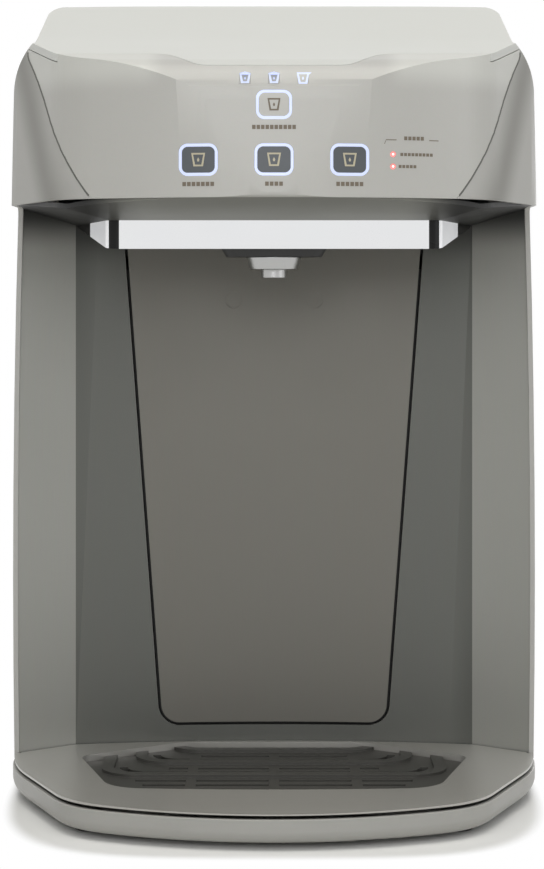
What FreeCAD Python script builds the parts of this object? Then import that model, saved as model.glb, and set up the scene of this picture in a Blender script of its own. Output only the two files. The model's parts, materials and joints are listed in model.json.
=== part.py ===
import FreeCAD, Part
import Sketcher
import math
import os
import re

# A free-standing water purifier dispenser. +Z is up, the front faces -Y, and the origin is on the floor
# under the middle of the object. "Ahead" is the distance in front of the column's front edge.

Vector = FreeCAD.Vector
Rotation = FreeCAD.Rotation

doc = FreeCAD.newDocument("WaterPurifierDispenser")

# Driving dimensions, in millimetres and degrees
SIZES = {
    "overall_width": 265.0,
    "overall_height": 398.0,
    "overall_depth": 365.0,
    "front_reach": 131.0,
    "wall": 2.4,
    "seam": 0.4,
    # Plan of the head and the base
    "facet_start": 24.0,
    "facet_corner_reach": 104.4,
    "front_radius": 190.0,
    "corner_radius": 45.0,
    "side_blend_radius": 120.0,
    "rear_corner_radius": 18.0,
    "side_draw_in": 1.3,
    "side_radius": 6241.0,
    "side_margin": 1.0,
    # Side profile of the head
    "niche_corner_radius": 4.0,
    "head_lip_radius": 2.2,
    "brow_reach": 127.6,
    "brow_radius": 22.0,
    "bend_reach": 55.0,
    "bend_radius": 220.0,
    "crest_behind": 22.0,
    "crest_radius": 60.0,
    "rear_top_radius": 12.0,
    # Shoulders and crown
    "shoulder_radius": 26.0,
    "crown_drop": 1.8,
    "crown_corner_radius": 8.0,
    "crown_radius": 3241.0,
    # Seam between the fascia and the side shells
    "slant_high_reach": 58.0,
    "slant_low_reach": 111.5,
    "slant_radius": 177.0,
    "slant_foot_reach": 124.0,
    # Lid
    "lid_rim": 3.6,
    "lid_front": 97.0,
    "tongue_reach": 119.5,
    "tongue_half": 37.5,
    "tongue_shoulder": 49.5,
    "tongue_blend_radius": 12.0,
    "lid_hinge_behind": 55.0,
    "lid_hinge_drop": 9.0,
    "lid_barrel_radius": 7.0,
    "hinge_boss_radius": 4.0,
    "hinge_pin_radius": 1.5,
    "hinge_pin_play": 0.05,
    "hinge_pin_depth": 12.0,
    "lid_swing_gap": 0.6,
    "ledge_width": 7.0,
    "ledge_thickness": 2.0,
    "ledge_end": 16.0,
    # Base
    "foot_height": 3.0,
    "foot_radius": 9.0,
    "foot_front_reach": 84.0,
    "screw_half": 60.0,
    "screw_reach": 96.0,
    "screw_middle": 30.0,
    "screw_radius": 4.0,
    "screw_height": 1.8,
    "drain_radius": 7.0,
    "drain_flange": 3.0,
    "pan_floor": 2.5,
    "skirt_top": 14.4,
    "skirt_wall": 2.5,
    "skirt_edge_radius": 6.0,
    # Drip tray and grille
    "tray_inset": 1.0,
    "tray_underside": 16.0,
    "rim_edge_height": 16.6,
    "deck_height": 17.6,
    "tray_floor_underside": 5.8,
    "tray_floor_top": 7.5,
    "tray_wall": 2.2,
    "tray_back_gap": 1.1,
    "pool_front": 80.0,
    "pool_side_reach": 10.0,
    "pool_back": 24.5,
    "pool_ledge": 3.5,
    "grille_underside": 12.6,
    "grille_thickness": 1.8,
    "grille_play": 0.6,
    "ridge_height": 1.4,
    "ridge_width": 6.0,
    "ridge_pitch": 28.5,
    "ridge_first": 44.0,
    "ridge_step": 15.0,
    "ridge_corner_radius": 18.0,
    "slot_width": 4.0,
    "bridge_width": 5.0,
    "pool_back_radius": 30.0,
    "pool_side_radius": 8.0,
    "pool_corner_radius": 20.0,
    "pool_front_radius": 900.0,
    "bridge_pitch": 40.0,
    # Niche
    "flare_width": 28.2,
    "flare_depth": 19.0,
    "niche_depth": 29.0,
    "niche_radius": 527.0,
    "liner_wall": 2.4,
    "liner_bottom": 14.8,
    # Filter cover
    "cover_side_radius": 3800.0,
    "cover_bottom": 25.7,
    "cover_corner_radius": 11.0,
    "cover_seam": 1.5,
    "cover_swing_gap": 9.0,
    "cover_hinge_behind": 35.5,
    "cover_ear_width": 6.0,
    "cover_ear_radius": 4.0,
    "cover_pin_radius": 2.0,
    "cover_pin_length": 3.4,
    "dimple_half_width": 4.5,
    "dimple_depth": 0.5,
    "dimple_spacing": 42.0,
    # Filter bay, manifold and cartridge
    "bay_wall": 2.2,
    "bay_rear": 112.0,
    "gasket_width": 4.5,
    "gasket_thickness": 2.0,
    "port_radius": 4.0,
    "port_pitch": 14.0,
    "port_length": 12.0,
    "lug_half_width": 5.0,
    "lug_thickness": 4.0,
    "grip_height": 9.0,
    "seal_height": 1.6,
    "seal_depth": 1.2,
    "cartridge_edge": 8.0,
    "cartridge_radius": 31.0,
    "cartridge_behind": 72.0,
    "cartridge_bottom": 52.0,
    "cartridge_neck_radius": 15.0,
    "cartridge_key_half": 19.0,
    "manifold_radius": 24.0,
    "neck_play": 0.4,
    # Chrome band and nozzle housing
    "band_front_reach": 70.0,
    "band_rear_behind": 18.0,
    "band_corner_radius": 7.0,
    "band_thickness": 1.6,
    "housing_recess": 1.2,
    "underside_wall": 2.2,
    "nozzle_reach": 50.0,
    "nozzle_base_half": 29.0,
    "nozzle_base_low_half": 23.0,
    "nozzle_base_depth": 36.0,
    "collar_top_radius": 13.4,
    "collar_low_radius": 11.5,
    "spout_radius": 6.0,
    "spout_bore_radius": 4.2,
    # Keys and lamps on the fascia
    "key_width": 14.7,
    "key_height_size": 11.6,
    "key_corner_radius": 2.6,
    "key_ring_width": 1.3,
    "key_pitch": 33.9,
    "volume_key_width": 13.4,
    "volume_key_height_size": 10.4,
    "key_gap": 0.1,
    "volume_lamp_pitch": 13.0,
    "volume_lamp_width": 4.8,
    "replace_lamp_across": 53.5,
    "replace_lamp_pitch": 5.5,
    "replace_lamp_radius": 1.3,
    "board_reach": 112.0,
    "board_boss_reach": 124.0,
    "board_boss_radius": 3.0,
    "board_boss_half": 55.0,
    "board_half": 61.0,
    "board_margin": 4.0,
    "board_thickness": 1.6,
    # Rear cover
    "louvre_pitch": 11.0,
    "louvre_height": 4.5,
    "louvre_half": 34.0,
    "recess_width": 70.0,
    "recess_height": 38.0,
    "recess_depth": 20.0,
    "inlet_radius": 8.0,
    "gland_radius": 7.0,
    "condenser_tube_radius": 2.6,
    "hook_half": 5.0,
    "hook_gap": 0.2,
    # Head underside and valves
    "dish_rise": 1.3,
    "dish_front_reach": 134.0,
    "nozzle_corner_radius": 6.0,
    "valve_half": 26.0,
    "valve_depth": 24.0,
    "valve_block_height": 14.0,
    "valve_pitch": 26.0,
    "valve_radius": 11.0,
    "valve_height": 28.0,
    # Machinery
    "mount_sheet": 1.6,
    "mount_radius": 8.0,
    "compressor_edge": 26.0,
    "sleeve_wall": 1.5,
    "tank_port_offset": 16.0,
    "inlet_bore_radius": 3.25,
    "inlet_bore_depth": 14.0,
    "hose_radius": 3.2,
    "hose_bend": 16.0,
    "board_left": 24.0,
    "chassis_behind": 114.4,
    "chassis_sheet": 1.6,
    "compressor_half_offset": 42.0,
    "compressor_bottom": 17.0,
    "tank_half_offset": -58.0,
    "tank_height": 128.0,
    "insulation": 8.0,
    "compressor_front_gap": 6.0,
    "compressor_rear_gap": 9.6,
    "compressor_top_gap": 27.0,
    "mount_margin": 4.0,
    "tank_front_gap": 2.0,
    "tank_rear_gap": 13.4,
    "shelf_margin": 10.0,
    "inlet_valve_offset": 3.4,
    "recess_inset": 18.5,
}

# Heights of the head and the upper niche, measured down from the top
FROM_TOP = {
    "head_bottom": 105.5,
    "brow_height": 46.0,
    "bend_height": 27.0,
    "shoulder_start": 51.0,
    "shoulder_height": 29.0,
    "riser_top": 7.5,
    "slant_high_height": 36.0,
    "slant_low_height": 105.0,
    "liner_top": 103.5,
    "cover_top": 122.0,
    "cover_hinge_height": 126.5,
    "dimple_height": 152.0,
    "gasket_top": 136.0,
    "port_height": 126.0,
    "lug_bottom": 158.0,
    "cartridge_shoulder": 172.0,
    "cartridge_neck_top": 148.0,
    "manifold_bottom": 164.0,
    "manifold_top": 136.0,
    "band_bottom": 127.5,
    "band_top": 114.0,
    "band_slope_top": 115.0,
    "nozzle_base_bottom": 131.1,
    "nozzle_base_top": 120.4,
    "collar_bottom": 137.2,
    "spout_bottom": 141.2,
    "spout_top": 102.0,
    "key_height": 88.7,
    "volume_key_height": 64.0,
    "volume_lamp_height": 52.0,
    "replace_lamp_height": 86.0,
    "board_low": 95.0,
    "board_high": 61.0,
    "louvre_low": 158.0,
    "condenser_low": 160.0,
    "condenser_high": 72.0,
    "chassis_top": 68.0,
    "recess_bottom": 220.0,
    "shelf_height": 226.0,
    "power_board_low": 208.0,
    "power_board_high": 148.0,
}

# Half widths, measured in from the side
FROM_SIDE = {
    "facet_corner_half": 34.7,
    "shoulder_start_half": 5.2,
    "shoulder_half": 18.5,
    "crown_half": 24.5,
    "chassis_half": 12.5,
    "dish_front_half": 18.5,
    "dish_rear_half": -3.5,
    "band_front_half": 53.5,
    "band_rear_half": 31.7,
    "cover_top_half": 54.9,
    "cover_bottom_half": 73.5,
    "cover_ear_half": 74.5,
    "pool_corner_half": 55.5,
    "pool_side_half": 35.5,
    "pool_back_half": 86.5,
    "ridge_half": 47.5,
    "foot_front_half": 48.5,
    "foot_rear_half": 28.5,
    "louvre_offset": 80.5,
    "condenser_half": 40.5,
    "lid_barrel_half": 29.5,
}

# Distances behind the column's front edge, measured forward from the back
FROM_BACK = {
    "rear_cover_behind": 29.0,
    "foot_rear_behind": 26.0,
    "screw_behind": 16.0,
    "condenser_behind": 12.0,
}

# Sizes that fill the room left by others
COLUMN_DEPTH = "(overall_depth - front_reach)"
MACHINE_ROOM = "(chassis_behind + chassis_sheet)"
FOLLOWING = {
    "compressor_radius": "(%s - wall - %s - compressor_front_gap - compressor_rear_gap) / 2" % (
        COLUMN_DEPTH, MACHINE_ROOM),
    "compressor_behind": MACHINE_ROOM + " + compressor_front_gap + compressor_radius",
    "compressor_height": "shelf_height - compressor_bottom - compressor_top_gap",
    "mount_half": "compressor_radius + mount_margin",
    "tank_radius": "(condenser_behind - condenser_tube_radius - tank_rear_gap - %s - tank_front_gap) / 2 - insulation" % (
        MACHINE_ROOM),
    "tank_behind": MACHINE_ROOM + " + tank_front_gap + insulation + tank_radius",
    "shelf_depth": "2 * tank_radius + shelf_margin",
    "inlet_valve_behind": "(%s + %s - recess_depth - 2 * wall - port_length) / 2 + inlet_valve_offset" % (
        MACHINE_ROOM, COLUMN_DEPTH),
    "recess_left": "overall_width / 2 - recess_inset - recess_width",
}
for measures, edge in ((FROM_TOP, "overall_height"), (FROM_SIDE, "overall_width / 2"), (FROM_BACK, COLUMN_DEPTH)):
    for alias, inset in measures.items():
        FOLLOWING[alias] = "%s - %r" % (edge, inset)

# Counts
LOUVRES = 8
RIDGES = 3
FRONT_SLOTS = 3
CONDENSER_ROWS = 5

sheet = doc.addObject("Spreadsheet::Sheet", "Sizes")
for row, (alias, content) in enumerate({**SIZES, **FOLLOWING}.items(), start=1):
    sheet.set("A%d" % row, alias.replace("_", " "))
    sheet.set("B%d" % row, "=" + content if alias in FOLLOWING else str(content))
    sheet.setAlias("B%d" % row, alias)
doc.recompute()

NODES = {}


def bind(expression):
    """Words of an expression that name a size become cells of the sheet."""
    def cell(match):
        word = match.group()
        return "Sizes." + word if word in SIZES or word in FOLLOWING else word
    return re.sub(r"[a-z][a-z_0-9]*", cell, str(expression))


def value(expression):
    """The number that an expression has now."""
    return float(sheet.evalExpression(bind(expression)))


def ahead(distance):
    """Y of a point this far in front of the column's front edge."""
    return "(front_reach - overall_depth / 2 - (%s))" % distance


def behind(distance):
    """Y of a point this far behind the column's front edge."""
    return "(front_reach - overall_depth / 2 + (%s))" % distance


def bind_all(thing, **expressions):
    """Sets properties of an object from expressions."""
    for name, expression in expressions.items():
        thing.setExpression(name.replace("__", "."), bind(expression))


def place(thing, x="0", y="0", z="0"):
    bind_all(thing, Placement__Base__x=x, Placement__Base__y=y, Placement__Base__z=z)
    return thing


# Sketches: closed outlines whose corners, roundings and arcs are bound to the sheet

TURNS = {
    "plan": Rotation(),
    "front": Rotation(Vector(1, 0, 0), 90),
    "side": Rotation(Vector(1, 1, 1), 120),
}
NORMALS = {"plan": Vector(0, 0, 1), "front": Vector(0, 1, 0), "side": Vector(1, 0, 0)}
START_AXIS = {"plan": "z", "front": "y", "side": "x"}


def both_sides(right, across_front=None, across_rear=None):
    """Mirrors corners of the right half, listed from the first to the last, about the middle plane."""
    full = [tuple(corner) + (None,) * (4 - len(corner)) for corner in right]
    last = full[-1]
    loop = full[:-1] + [last[:3] + (across_front,)]
    for index in range(len(full) - 1, -1, -1):
        x, y, rounding, _ = full[index]
        arc = full[index - 1][3] if index > 0 else across_rear
        loop.append(("-(%s)" % x, y, rounding, arc))
    return loop


def arc_between(start, end, centre, radius):
    """The shorter arc from start to end."""
    first = math.atan2(start.y - centre.y, start.x - centre.x)
    last = math.atan2(end.y - centre.y, end.x - centre.x)
    turn = (last - first) % (2 * math.pi)
    if turn > math.pi:
        first, turn = last, 2 * math.pi - turn
    return Part.ArcOfCircle(Part.Circle(centre, Vector(0, 0, 1), radius), first, first + turn)


def bulge_centre(start, end, radius, inside):
    """Centre of an arc edge. A positive radius bulges away from the inside point."""
    chord = end - start
    middle = (start + end) * 0.5
    side = Vector(-chord.y, chord.x, 0).normalize()
    if side.dot(inside - middle) < 0:
        side = -side
    reach = math.sqrt(max(radius * radius - chord.Length ** 2 / 4, 0))
    return middle + side * (reach if radius > 0 else -reach)


def draw(sketch, corners):
    """Draws a closed loop. A corner is (across, up, rounding or None, radius of its next edge or None)."""
    corners = [tuple(corner) + (None,) * (4 - len(corner)) for corner in corners]
    count = len(corners)
    points = [Vector(value(c[0]), value(c[1]), 0) for c in corners]
    inside = sum(points, Vector()) * (1.0 / count)
    arrivals = []
    departures = []
    centres = []
    for index, corner in enumerate(corners):
        here = points[index]
        if corner[2] is None:
            arrivals.append(here)
            departures.append(here)
            centres.append(None)
            continue
        back = (points[index - 1] - here).normalize()
        on = (points[(index + 1) % count] - here).normalize()
        half = math.acos(max(-1, min(1, back.dot(on)))) / 2
        radius = value(corner[2])
        arrivals.append(here + back * (radius / math.tan(half)))
        departures.append(here + on * (radius / math.tan(half)))
        centres.append(here + (back + on).normalize() * (radius / math.sin(half)))
    shapes = []
    for index, corner in enumerate(corners):
        start = departures[index]
        end = arrivals[(index + 1) % count]
        if corner[3] is None:
            shapes.append(Part.LineSegment(start, end))
        else:
            radius = value(corner[3])
            centre = bulge_centre(start, end, radius, inside)
            shapes.append(arc_between(start, end, centre, abs(radius)))
    rounded = [index for index in range(count) if centres[index] is not None]
    for index in rounded:
        radius = value(corners[index][2])
        shapes.append(arc_between(arrivals[index], departures[index], centres[index], radius))
    sketch.addGeometry(shapes, False)
    first_point = len(shapes)
    sketch.addGeometry([Part.Point(points[index]) for index in rounded], True)
    constraints = []
    bound = []

    def end_at(shape, point):
        gap = [(sketch.getPoint(shape, end) - point).Length for end in (1, 2)]
        return 1 if gap[0] < gap[1] else 2

    def drive(kind, expression, *where):
        bound.append((len(constraints), expression))
        constraints.append(Sketcher.Constraint(kind, *where, value(expression)))

    for index, corner in enumerate(corners):
        edge_in = (index - 1) % count
        if centres[index] is None:
            into = end_at(edge_in, points[index])
            out = end_at(index, points[index])
            constraints.append(Sketcher.Constraint("Coincident", edge_in, into, index, out))
            drive("DistanceX", corner[0], -1, 1, index, out)
            drive("DistanceY", corner[1], -1, 1, index, out)
            continue
        order = rounded.index(index)
        arc = count + order
        mark = first_point + order
        into = end_at(edge_in, arrivals[index])
        out = end_at(index, departures[index])
        constraints.append(Sketcher.Constraint("Tangent", edge_in, into, arc, end_at(arc, arrivals[index])))
        constraints.append(Sketcher.Constraint("Tangent", arc, end_at(arc, departures[index]), index, out))
        constraints.append(Sketcher.Constraint("PointOnObject", mark, 1, edge_in))
        constraints.append(Sketcher.Constraint("PointOnObject", mark, 1, index))
        drive("DistanceX", corner[0], -1, 1, mark, 1)
        drive("DistanceY", corner[1], -1, 1, mark, 1)
        drive("Radius", corner[2], arc)
    for index, corner in enumerate(corners):
        if corner[3] is not None:
            drive("Radius", "abs(%s)" % corner[3], index)
    sketch.addConstraint(constraints)
    for index, expression in bound:
        sketch.setExpression("Constraints[%d]" % index, bind(expression))
    return sketch


def outline(name, plane, corners, start="0"):
    """A closed sketch on a plane square to X, Y or Z."""
    sketch = doc.addObject("Sketcher::SketchObject", name + "_outline")
    sketch.Placement = FreeCAD.Placement(Vector(), TURNS[plane])
    sketch.setExpression("Placement.Base." + START_AXIS[plane], bind(start))
    return draw(sketch, corners)


def extrude(name, sketch, plane, length):
    """Extrudes an outline towards +Z, +Y or +X."""
    solid = doc.addObject("Part::Extrusion", name)
    solid.Base = sketch
    solid.DirMode = "Custom"
    solid.Dir = NORMALS[plane]
    solid.Solid = True
    bind_all(solid, LengthFwd=length)
    return solid


def prism(name, plane, corners, start, length):
    return extrude(name, outline(name, plane, corners, start), plane, length)


def grown(name, sketch, plane, distance, start, length):
    """Extrudes a copy of an outline that is offset outwards, or inwards where the distance is negative."""
    offset = doc.addObject("Part::Offset2D", name + "_offset")
    offset.Source = sketch
    bind_all(offset, Value=distance)
    solid = extrude(name, offset, plane, length)
    axis = START_AXIS[plane]
    home = "0"
    for path, expression in sketch.ExpressionEngine:
        if path.lstrip(".") == "Placement.Base." + axis:
            home = expression
    solid.setExpression("Placement.Base." + axis, "%s - (%s)" % (bind(start), home))
    return solid


# Solids

def box(name, x, y, z):
    """A block between two expressions along each axis."""
    solid = doc.addObject("Part::Box", name)
    bind_all(solid, Length="(%s) - (%s)" % (x[1], x[0]), Width="(%s) - (%s)" % (y[1], y[0]))
    bind_all(solid, Height="(%s) - (%s)" % (z[1], z[0]))
    return place(solid, x[0], y[0], z[0])


AXES = {"x": Rotation(Vector(0, 1, 0), 90), "y": Rotation(Vector(1, 0, 0), -90), "z": Rotation()}


def rod(name, radius, length, axis, x="0", y="0", z="0"):
    """A cylinder that starts at a point and runs along an axis."""
    solid = doc.addObject("Part::Cylinder", name)
    solid.Placement = FreeCAD.Placement(Vector(), AXES[axis])
    bind_all(solid, Radius=radius, Height=length)
    return place(solid, x, y, z)


def cone(name, low, high, length, x, y, z):
    solid = doc.addObject("Part::Cone", name)
    bind_all(solid, Radius1=low, Radius2=high, Height=length)
    return place(solid, x, y, z)


def common(name, *parts):
    """What all the parts share, taken two at a time."""
    solid = parts[0]
    for index, part in enumerate(parts[1:], start=2):
        last = index == len(parts)
        both = doc.addObject("Part::Common", name if last else "%s_of_%d" % (name, index))
        both.Base = solid
        both.Tool = part
        solid = both
    return solid


def fuse(name, *parts):
    solid = doc.addObject("Part::MultiFuse", name)
    solid.Shapes = list(parts)
    solid.Refine = True
    return solid


def cut(name, base, *tools):
    """Takes tools out of a base."""
    tool = tools[0] if len(tools) == 1 else fuse(name + "_tools", *tools)
    solid = doc.addObject("Part::Cut", name)
    solid.Base = base
    solid.Tool = tool
    return solid


def group(name, *parts):
    """Separate solids that share a node."""
    solid = doc.addObject("Part::Compound", name)
    solid.Links = list(parts)
    return solid


# The moulded shells cross at shallow angles, which needs exact booleans: their features are set in code

def feature(name, shape):
    solid = doc.addObject("Part::Feature", name)
    solid.Shape = shape.removeSplitter()
    return solid


def meet(name, *parts):
    """What all the parts share."""
    doc.recompute()
    shape = parts[0].Shape
    for part in parts[1:]:
        shape = shape.common(part.Shape)
    return feature(name, shape)


def join(name, *parts):
    """All the parts as one solid."""
    doc.recompute()
    return feature(name, parts[0].Shape.fuse([part.Shape for part in parts[1:]]))


def carve(name, base, *tools):
    """The base without the tools."""
    doc.recompute()
    shape = base.Shape
    for tool in tools:
        shape = shape.cut(tool.Shape)
    return feature(name, shape)


def node(name, thing):
    """Gives a finished sub-part its name."""
    thing.Label = name
    NODES[name] = thing
    return thing


def origin_plane(body, role):
    return next(item for item in body.Origin.OriginFeatures if item.Role == role)


def body_sketch(body, role, corners, name):
    sketch = body.newObject("Sketcher::SketchObject", name)
    sketch.AttachmentSupport = (origin_plane(body, role), [""])
    sketch.MapMode = "FlatFace"
    return draw(sketch, corners)


def turned(name, profile, x="0", y="0", z="0"):
    """A body turned about its own upright axis from a profile of (radius, height) corners."""
    body = doc.addObject("PartDesign::Body", name + "_body")
    sketch = body_sketch(body, "XZ_Plane", profile, name + "_profile")
    spin = body.newObject("PartDesign::Revolution", name + "_turning")
    spin.Profile = sketch
    spin.ReferenceAxis = (sketch, ["V_Axis"])
    spin.Angle = 360
    return place(body, x, y, z)


def plate(name, role, corners, thickness, x="0", y="0", z="0"):
    """A body padded from one outline on its own origin plane."""
    body = doc.addObject("PartDesign::Body", name + "_body")
    sketch = body_sketch(body, role, corners, name + "_profile")
    pad = body.newObject("PartDesign::Pad", name + "_pad")
    pad.Profile = sketch
    bind_all(pad, Length=thickness)
    return place(body, x, y, z)


def rectangle(half_width, half_height, rounding=None):
    return [
        (half_width, half_height, rounding),
        ("-(%s)" % half_width, half_height, rounding),
        ("-(%s)" % half_width, "-(%s)" % half_height, rounding),
        (half_width, "-(%s)" % half_height, rounding),
    ]


# Plan of the head and the base: straight sides, slanted facets and a gently curved front

HALF = "(overall_width / 2)"
REAR = "(overall_depth / 2)"


def front_corner(side, corner, reach):
    """Where the corner rounding leaves the slanted facet and where it meets the curved front."""
    along = (corner - side).normalize()
    inward = Vector(-along.y, along.x, 0)
    if inward.x > 0:
        inward = -inward
    radius = value("corner_radius")
    middle = Vector(0, value(ahead(reach)) + value("front_radius"), 0)
    base = side + inward * radius - middle
    gap = value("front_radius") - radius
    slope = base.dot(along)
    run = -slope + math.sqrt(slope * slope - base.dot(base) + gap * gap)
    centre = side + along * run + inward * radius
    leave = side + along * run
    meet = middle + (centre - middle).normalize() * value("front_radius")
    return leave, meet, centre, middle


def plan_sketch(name, margin, inset):
    """The outline of head, column and base seen from above. Its sides stand out by the margin."""
    sketch = doc.addObject("Sketcher::SketchObject", name)
    rear = value(REAR)
    side_half = "(%s + %s - %s)" % (HALF, margin, inset)
    facet_run = "(facet_corner_reach - facet_start) / (%s - facet_corner_half)" % HALF
    side_y = ahead("facet_start - %s * %s" % (margin, facet_run))
    corner_half = "(facet_corner_half - %s)" % inset
    corner_y = ahead("facet_corner_reach - %s" % inset)
    reach = "front_reach - %s" % inset
    half = value(side_half)
    side = Vector(half, value(side_y), 0)
    corner = Vector(value(corner_half), value(corner_y), 0)
    leave, meet, centre, middle = front_corner(side, corner, reach)
    blend = value("side_blend_radius")
    back = Vector(0, 1, 0)
    on = (leave - side).normalize()
    opening = math.acos(back.dot(on)) / 2
    blend_start = side + back * (blend / math.tan(opening))
    blend_end = side + on * (blend / math.tan(opening))
    blend_centre = side + (back + on).normalize() * (blend / math.sin(opening))
    rounding = value("rear_corner_radius")

    def flip(point):
        return Vector(-point.x, point.y, 0)

    chain = [
        ("line", Vector(-(half - rounding), rear, 0), Vector(half - rounding, rear, 0)),
        ("arc", Vector(half - rounding, rear, 0), Vector(half, rear - rounding, 0),
         Vector(half - rounding, rear - rounding, 0), "rear_corner_radius"),
        ("line", Vector(half, rear - rounding, 0), blend_start),
        ("arc", blend_start, blend_end, blend_centre, "side_blend_radius"),
        ("line", blend_end, leave),
        ("arc", leave, meet, centre, "corner_radius"),
        ("arc", meet, flip(meet), middle, "front_radius"),
    ]
    mirrored = []
    for item in reversed(chain[1:6]):
        mirror = [item[0], flip(item[2]), flip(item[1])]
        if item[0] == "arc":
            mirror += [flip(item[3]), item[4]]
        mirrored.append(tuple(mirror))
    chain += mirrored
    shapes = []
    for item in chain:
        if item[0] == "line":
            shapes.append(Part.LineSegment(item[1], item[2]))
        else:
            shapes.append(arc_between(item[1], item[2], item[3], value(item[4])))
    sketch.addGeometry(shapes, False)
    marks = [side, corner, flip(side), flip(corner)]
    sketch.addGeometry([Part.Point(mark) for mark in marks], True)
    constraints = []
    bound = []

    def end_at(shape, point):
        gap = [(sketch.getPoint(shape, end) - point).Length for end in (1, 2)]
        return 1 if gap[0] < gap[1] else 2

    def drive(kind, expression, *where):
        bound.append((len(constraints), expression))
        constraints.append(Sketcher.Constraint(kind, *where, value(expression)))

    count = len(chain)
    for index, item in enumerate(chain):
        following = (index + 1) % count
        meeting = item[2]
        out = end_at(index, meeting)
        into = end_at(following, meeting)
        constraints.append(Sketcher.Constraint("Tangent", index, out, following, into))
        if item[0] == "arc":
            drive("Radius", item[4], index)
    right_side, right_facet, left_facet, left_side = 2, 4, 8, 10
    first = count
    for offset, (side_line, facet_line, sign) in enumerate(
            ((right_side, right_facet, ""), (left_side, left_facet, "-"))):
        mark = first + 2 * offset
        constraints.append(Sketcher.Constraint("PointOnObject", mark, 1, side_line))
        constraints.append(Sketcher.Constraint("PointOnObject", mark, 1, facet_line))
        constraints.append(Sketcher.Constraint("PointOnObject", mark + 1, 1, facet_line))
        drive("DistanceX", sign + side_half, -1, 1, mark, 1)
        drive("DistanceY", side_y, -1, 1, mark, 1)
        drive("DistanceX", sign + corner_half, -1, 1, mark + 1, 1)
        drive("DistanceY", corner_y, -1, 1, mark + 1, 1)
    constraints.append(Sketcher.Constraint("Vertical", right_side))
    constraints.append(Sketcher.Constraint("Vertical", left_side))
    constraints.append(Sketcher.Constraint("Horizontal", 0))
    drive("DistanceY", REAR, -1, 1, 0, 1)
    drive("DistanceX", "0", -1, 1, 6, 3)
    drive("DistanceY", ahead(reach + " - front_radius"), -1, 1, 6, 3)
    sketch.addConstraint(constraints)
    for index, expression in bound:
        sketch.setExpression("Constraints[%d]" % index, bind(expression))
    return sketch


plan = plan_sketch("plan", "side_margin", "0")
base_plan = plan_sketch("base_plan", "0", "side_draw_in")

# Envelope of the moulded shells: the plan, the front profile and the side profile, each extruded

BASE_HALF = "(%s - side_draw_in)" % HALF


def front_profile():
    """Barrelled sides, rounded shoulders, upright risers and a crowned top."""
    right = [
        (BASE_HALF, "skirt_top", None, "side_radius"),
        ("shoulder_start_half", "shoulder_start", None, "shoulder_radius"),
        ("shoulder_half", "shoulder_height", None),
        ("shoulder_half", "riser_top", None, "crown_corner_radius"),
        ("crown_half", "overall_height - crown_drop", None),
    ]
    return both_sides(right, across_front="crown_radius")


def side_profile():
    """Column at the back, head reaching forward, lid sloping up to the crest."""
    return [
        (ahead("0"), "skirt_top", None),
        (ahead("0"), "head_bottom", "niche_corner_radius"),
        (ahead("front_reach + head_lip_radius * (front_reach - brow_reach) / (brow_height - head_bottom)"),
         "head_bottom", "head_lip_radius"),
        (ahead("brow_reach"), "brow_height", "brow_radius"),
        (ahead("bend_reach"), "bend_height", "bend_radius"),
        (behind("crest_behind"), "overall_height", "crest_radius"),
        (REAR, "overall_height", "rear_top_radius"),
        (REAR, "skirt_top", None),
    ]


front_sketch = outline("front_profile", "front", front_profile(), "-overall_depth")
side_sketch = outline("side_profile", "side", side_profile(), "-overall_width")
outer_plan = extrude("outer_plan", plan, "plan", "overall_height + wall")
outer_front = extrude("outer_front", front_sketch, "front", "2 * overall_depth")
outer_side = extrude("outer_side", side_sketch, "side", "2 * overall_width")
outer = meet("envelope", outer_front, outer_side, outer_plan)

inner_plan = grown("inner_plan", plan, "plan", "-wall", "0", "overall_height")
inner_front = grown("inner_front", front_sketch, "front", "-wall", "-overall_depth", "2 * overall_depth")
inner_side = grown("inner_side", side_sketch, "side", "-wall", "-overall_width", "2 * overall_width")
WIDE = ("-overall_width", "overall_width")
open_column = box("open_column", WIDE, (ahead("wall"), behind("2 * wall")), ("0", "head_bottom - wall"))
open_head = box("open_head", WIDE, (ahead("front_reach - wall"), behind("2 * wall")),
                ("head_bottom - 2 * wall", "head_bottom + 2 * wall"))
open_bottom = box("open_bottom", WIDE, (ahead("0"), REAR + " - wall"), ("0", "skirt_top + 2 * wall"))
inner_sides = fuse("inner_sides", inner_side, open_column, open_head, open_bottom)
inner_fronts = fuse("inner_fronts", inner_front, box(
    "open_foot", ("-(%s - wall)" % BASE_HALF, "%s - wall" % BASE_HALF),
    ("-overall_depth", "overall_depth"), ("0", "skirt_top + 2 * wall")))
inner = meet("hollow", inner_fronts, inner_sides, inner_plan)
shell = carve("shell", outer, inner)

# How the shells are divided

TOP = "(overall_height + 40)"
HEAD_LOW = "(head_bottom - 30)"


def lid_height(reach):
    """Height of the lid's top surface ahead of its bend."""
    return "(bend_height - ((%s) - bend_reach) * (bend_height - brow_height) / (brow_reach - bend_reach))" % reach


def crest_height(reach):
    """Height of the lid's top surface behind its bend."""
    return ("(bend_height + (bend_reach - (%s)) * (overall_height - bend_height)"
            " / (bend_reach + crest_behind))" % reach)


def slant_seam(gap, bulge):
    """The curved seam from the lid down to the chin, moved ahead by a gap."""
    return [
        (ahead("slant_foot_reach + %s" % gap), HEAD_LOW, None),
        (ahead("slant_low_reach + %s" % gap), "slant_low_height", None, bulge),
        (ahead("slant_high_reach + %s" % gap), "slant_high_height", None),
        (ahead("slant_high_reach + %s" % gap), TOP, None),
    ]


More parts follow.
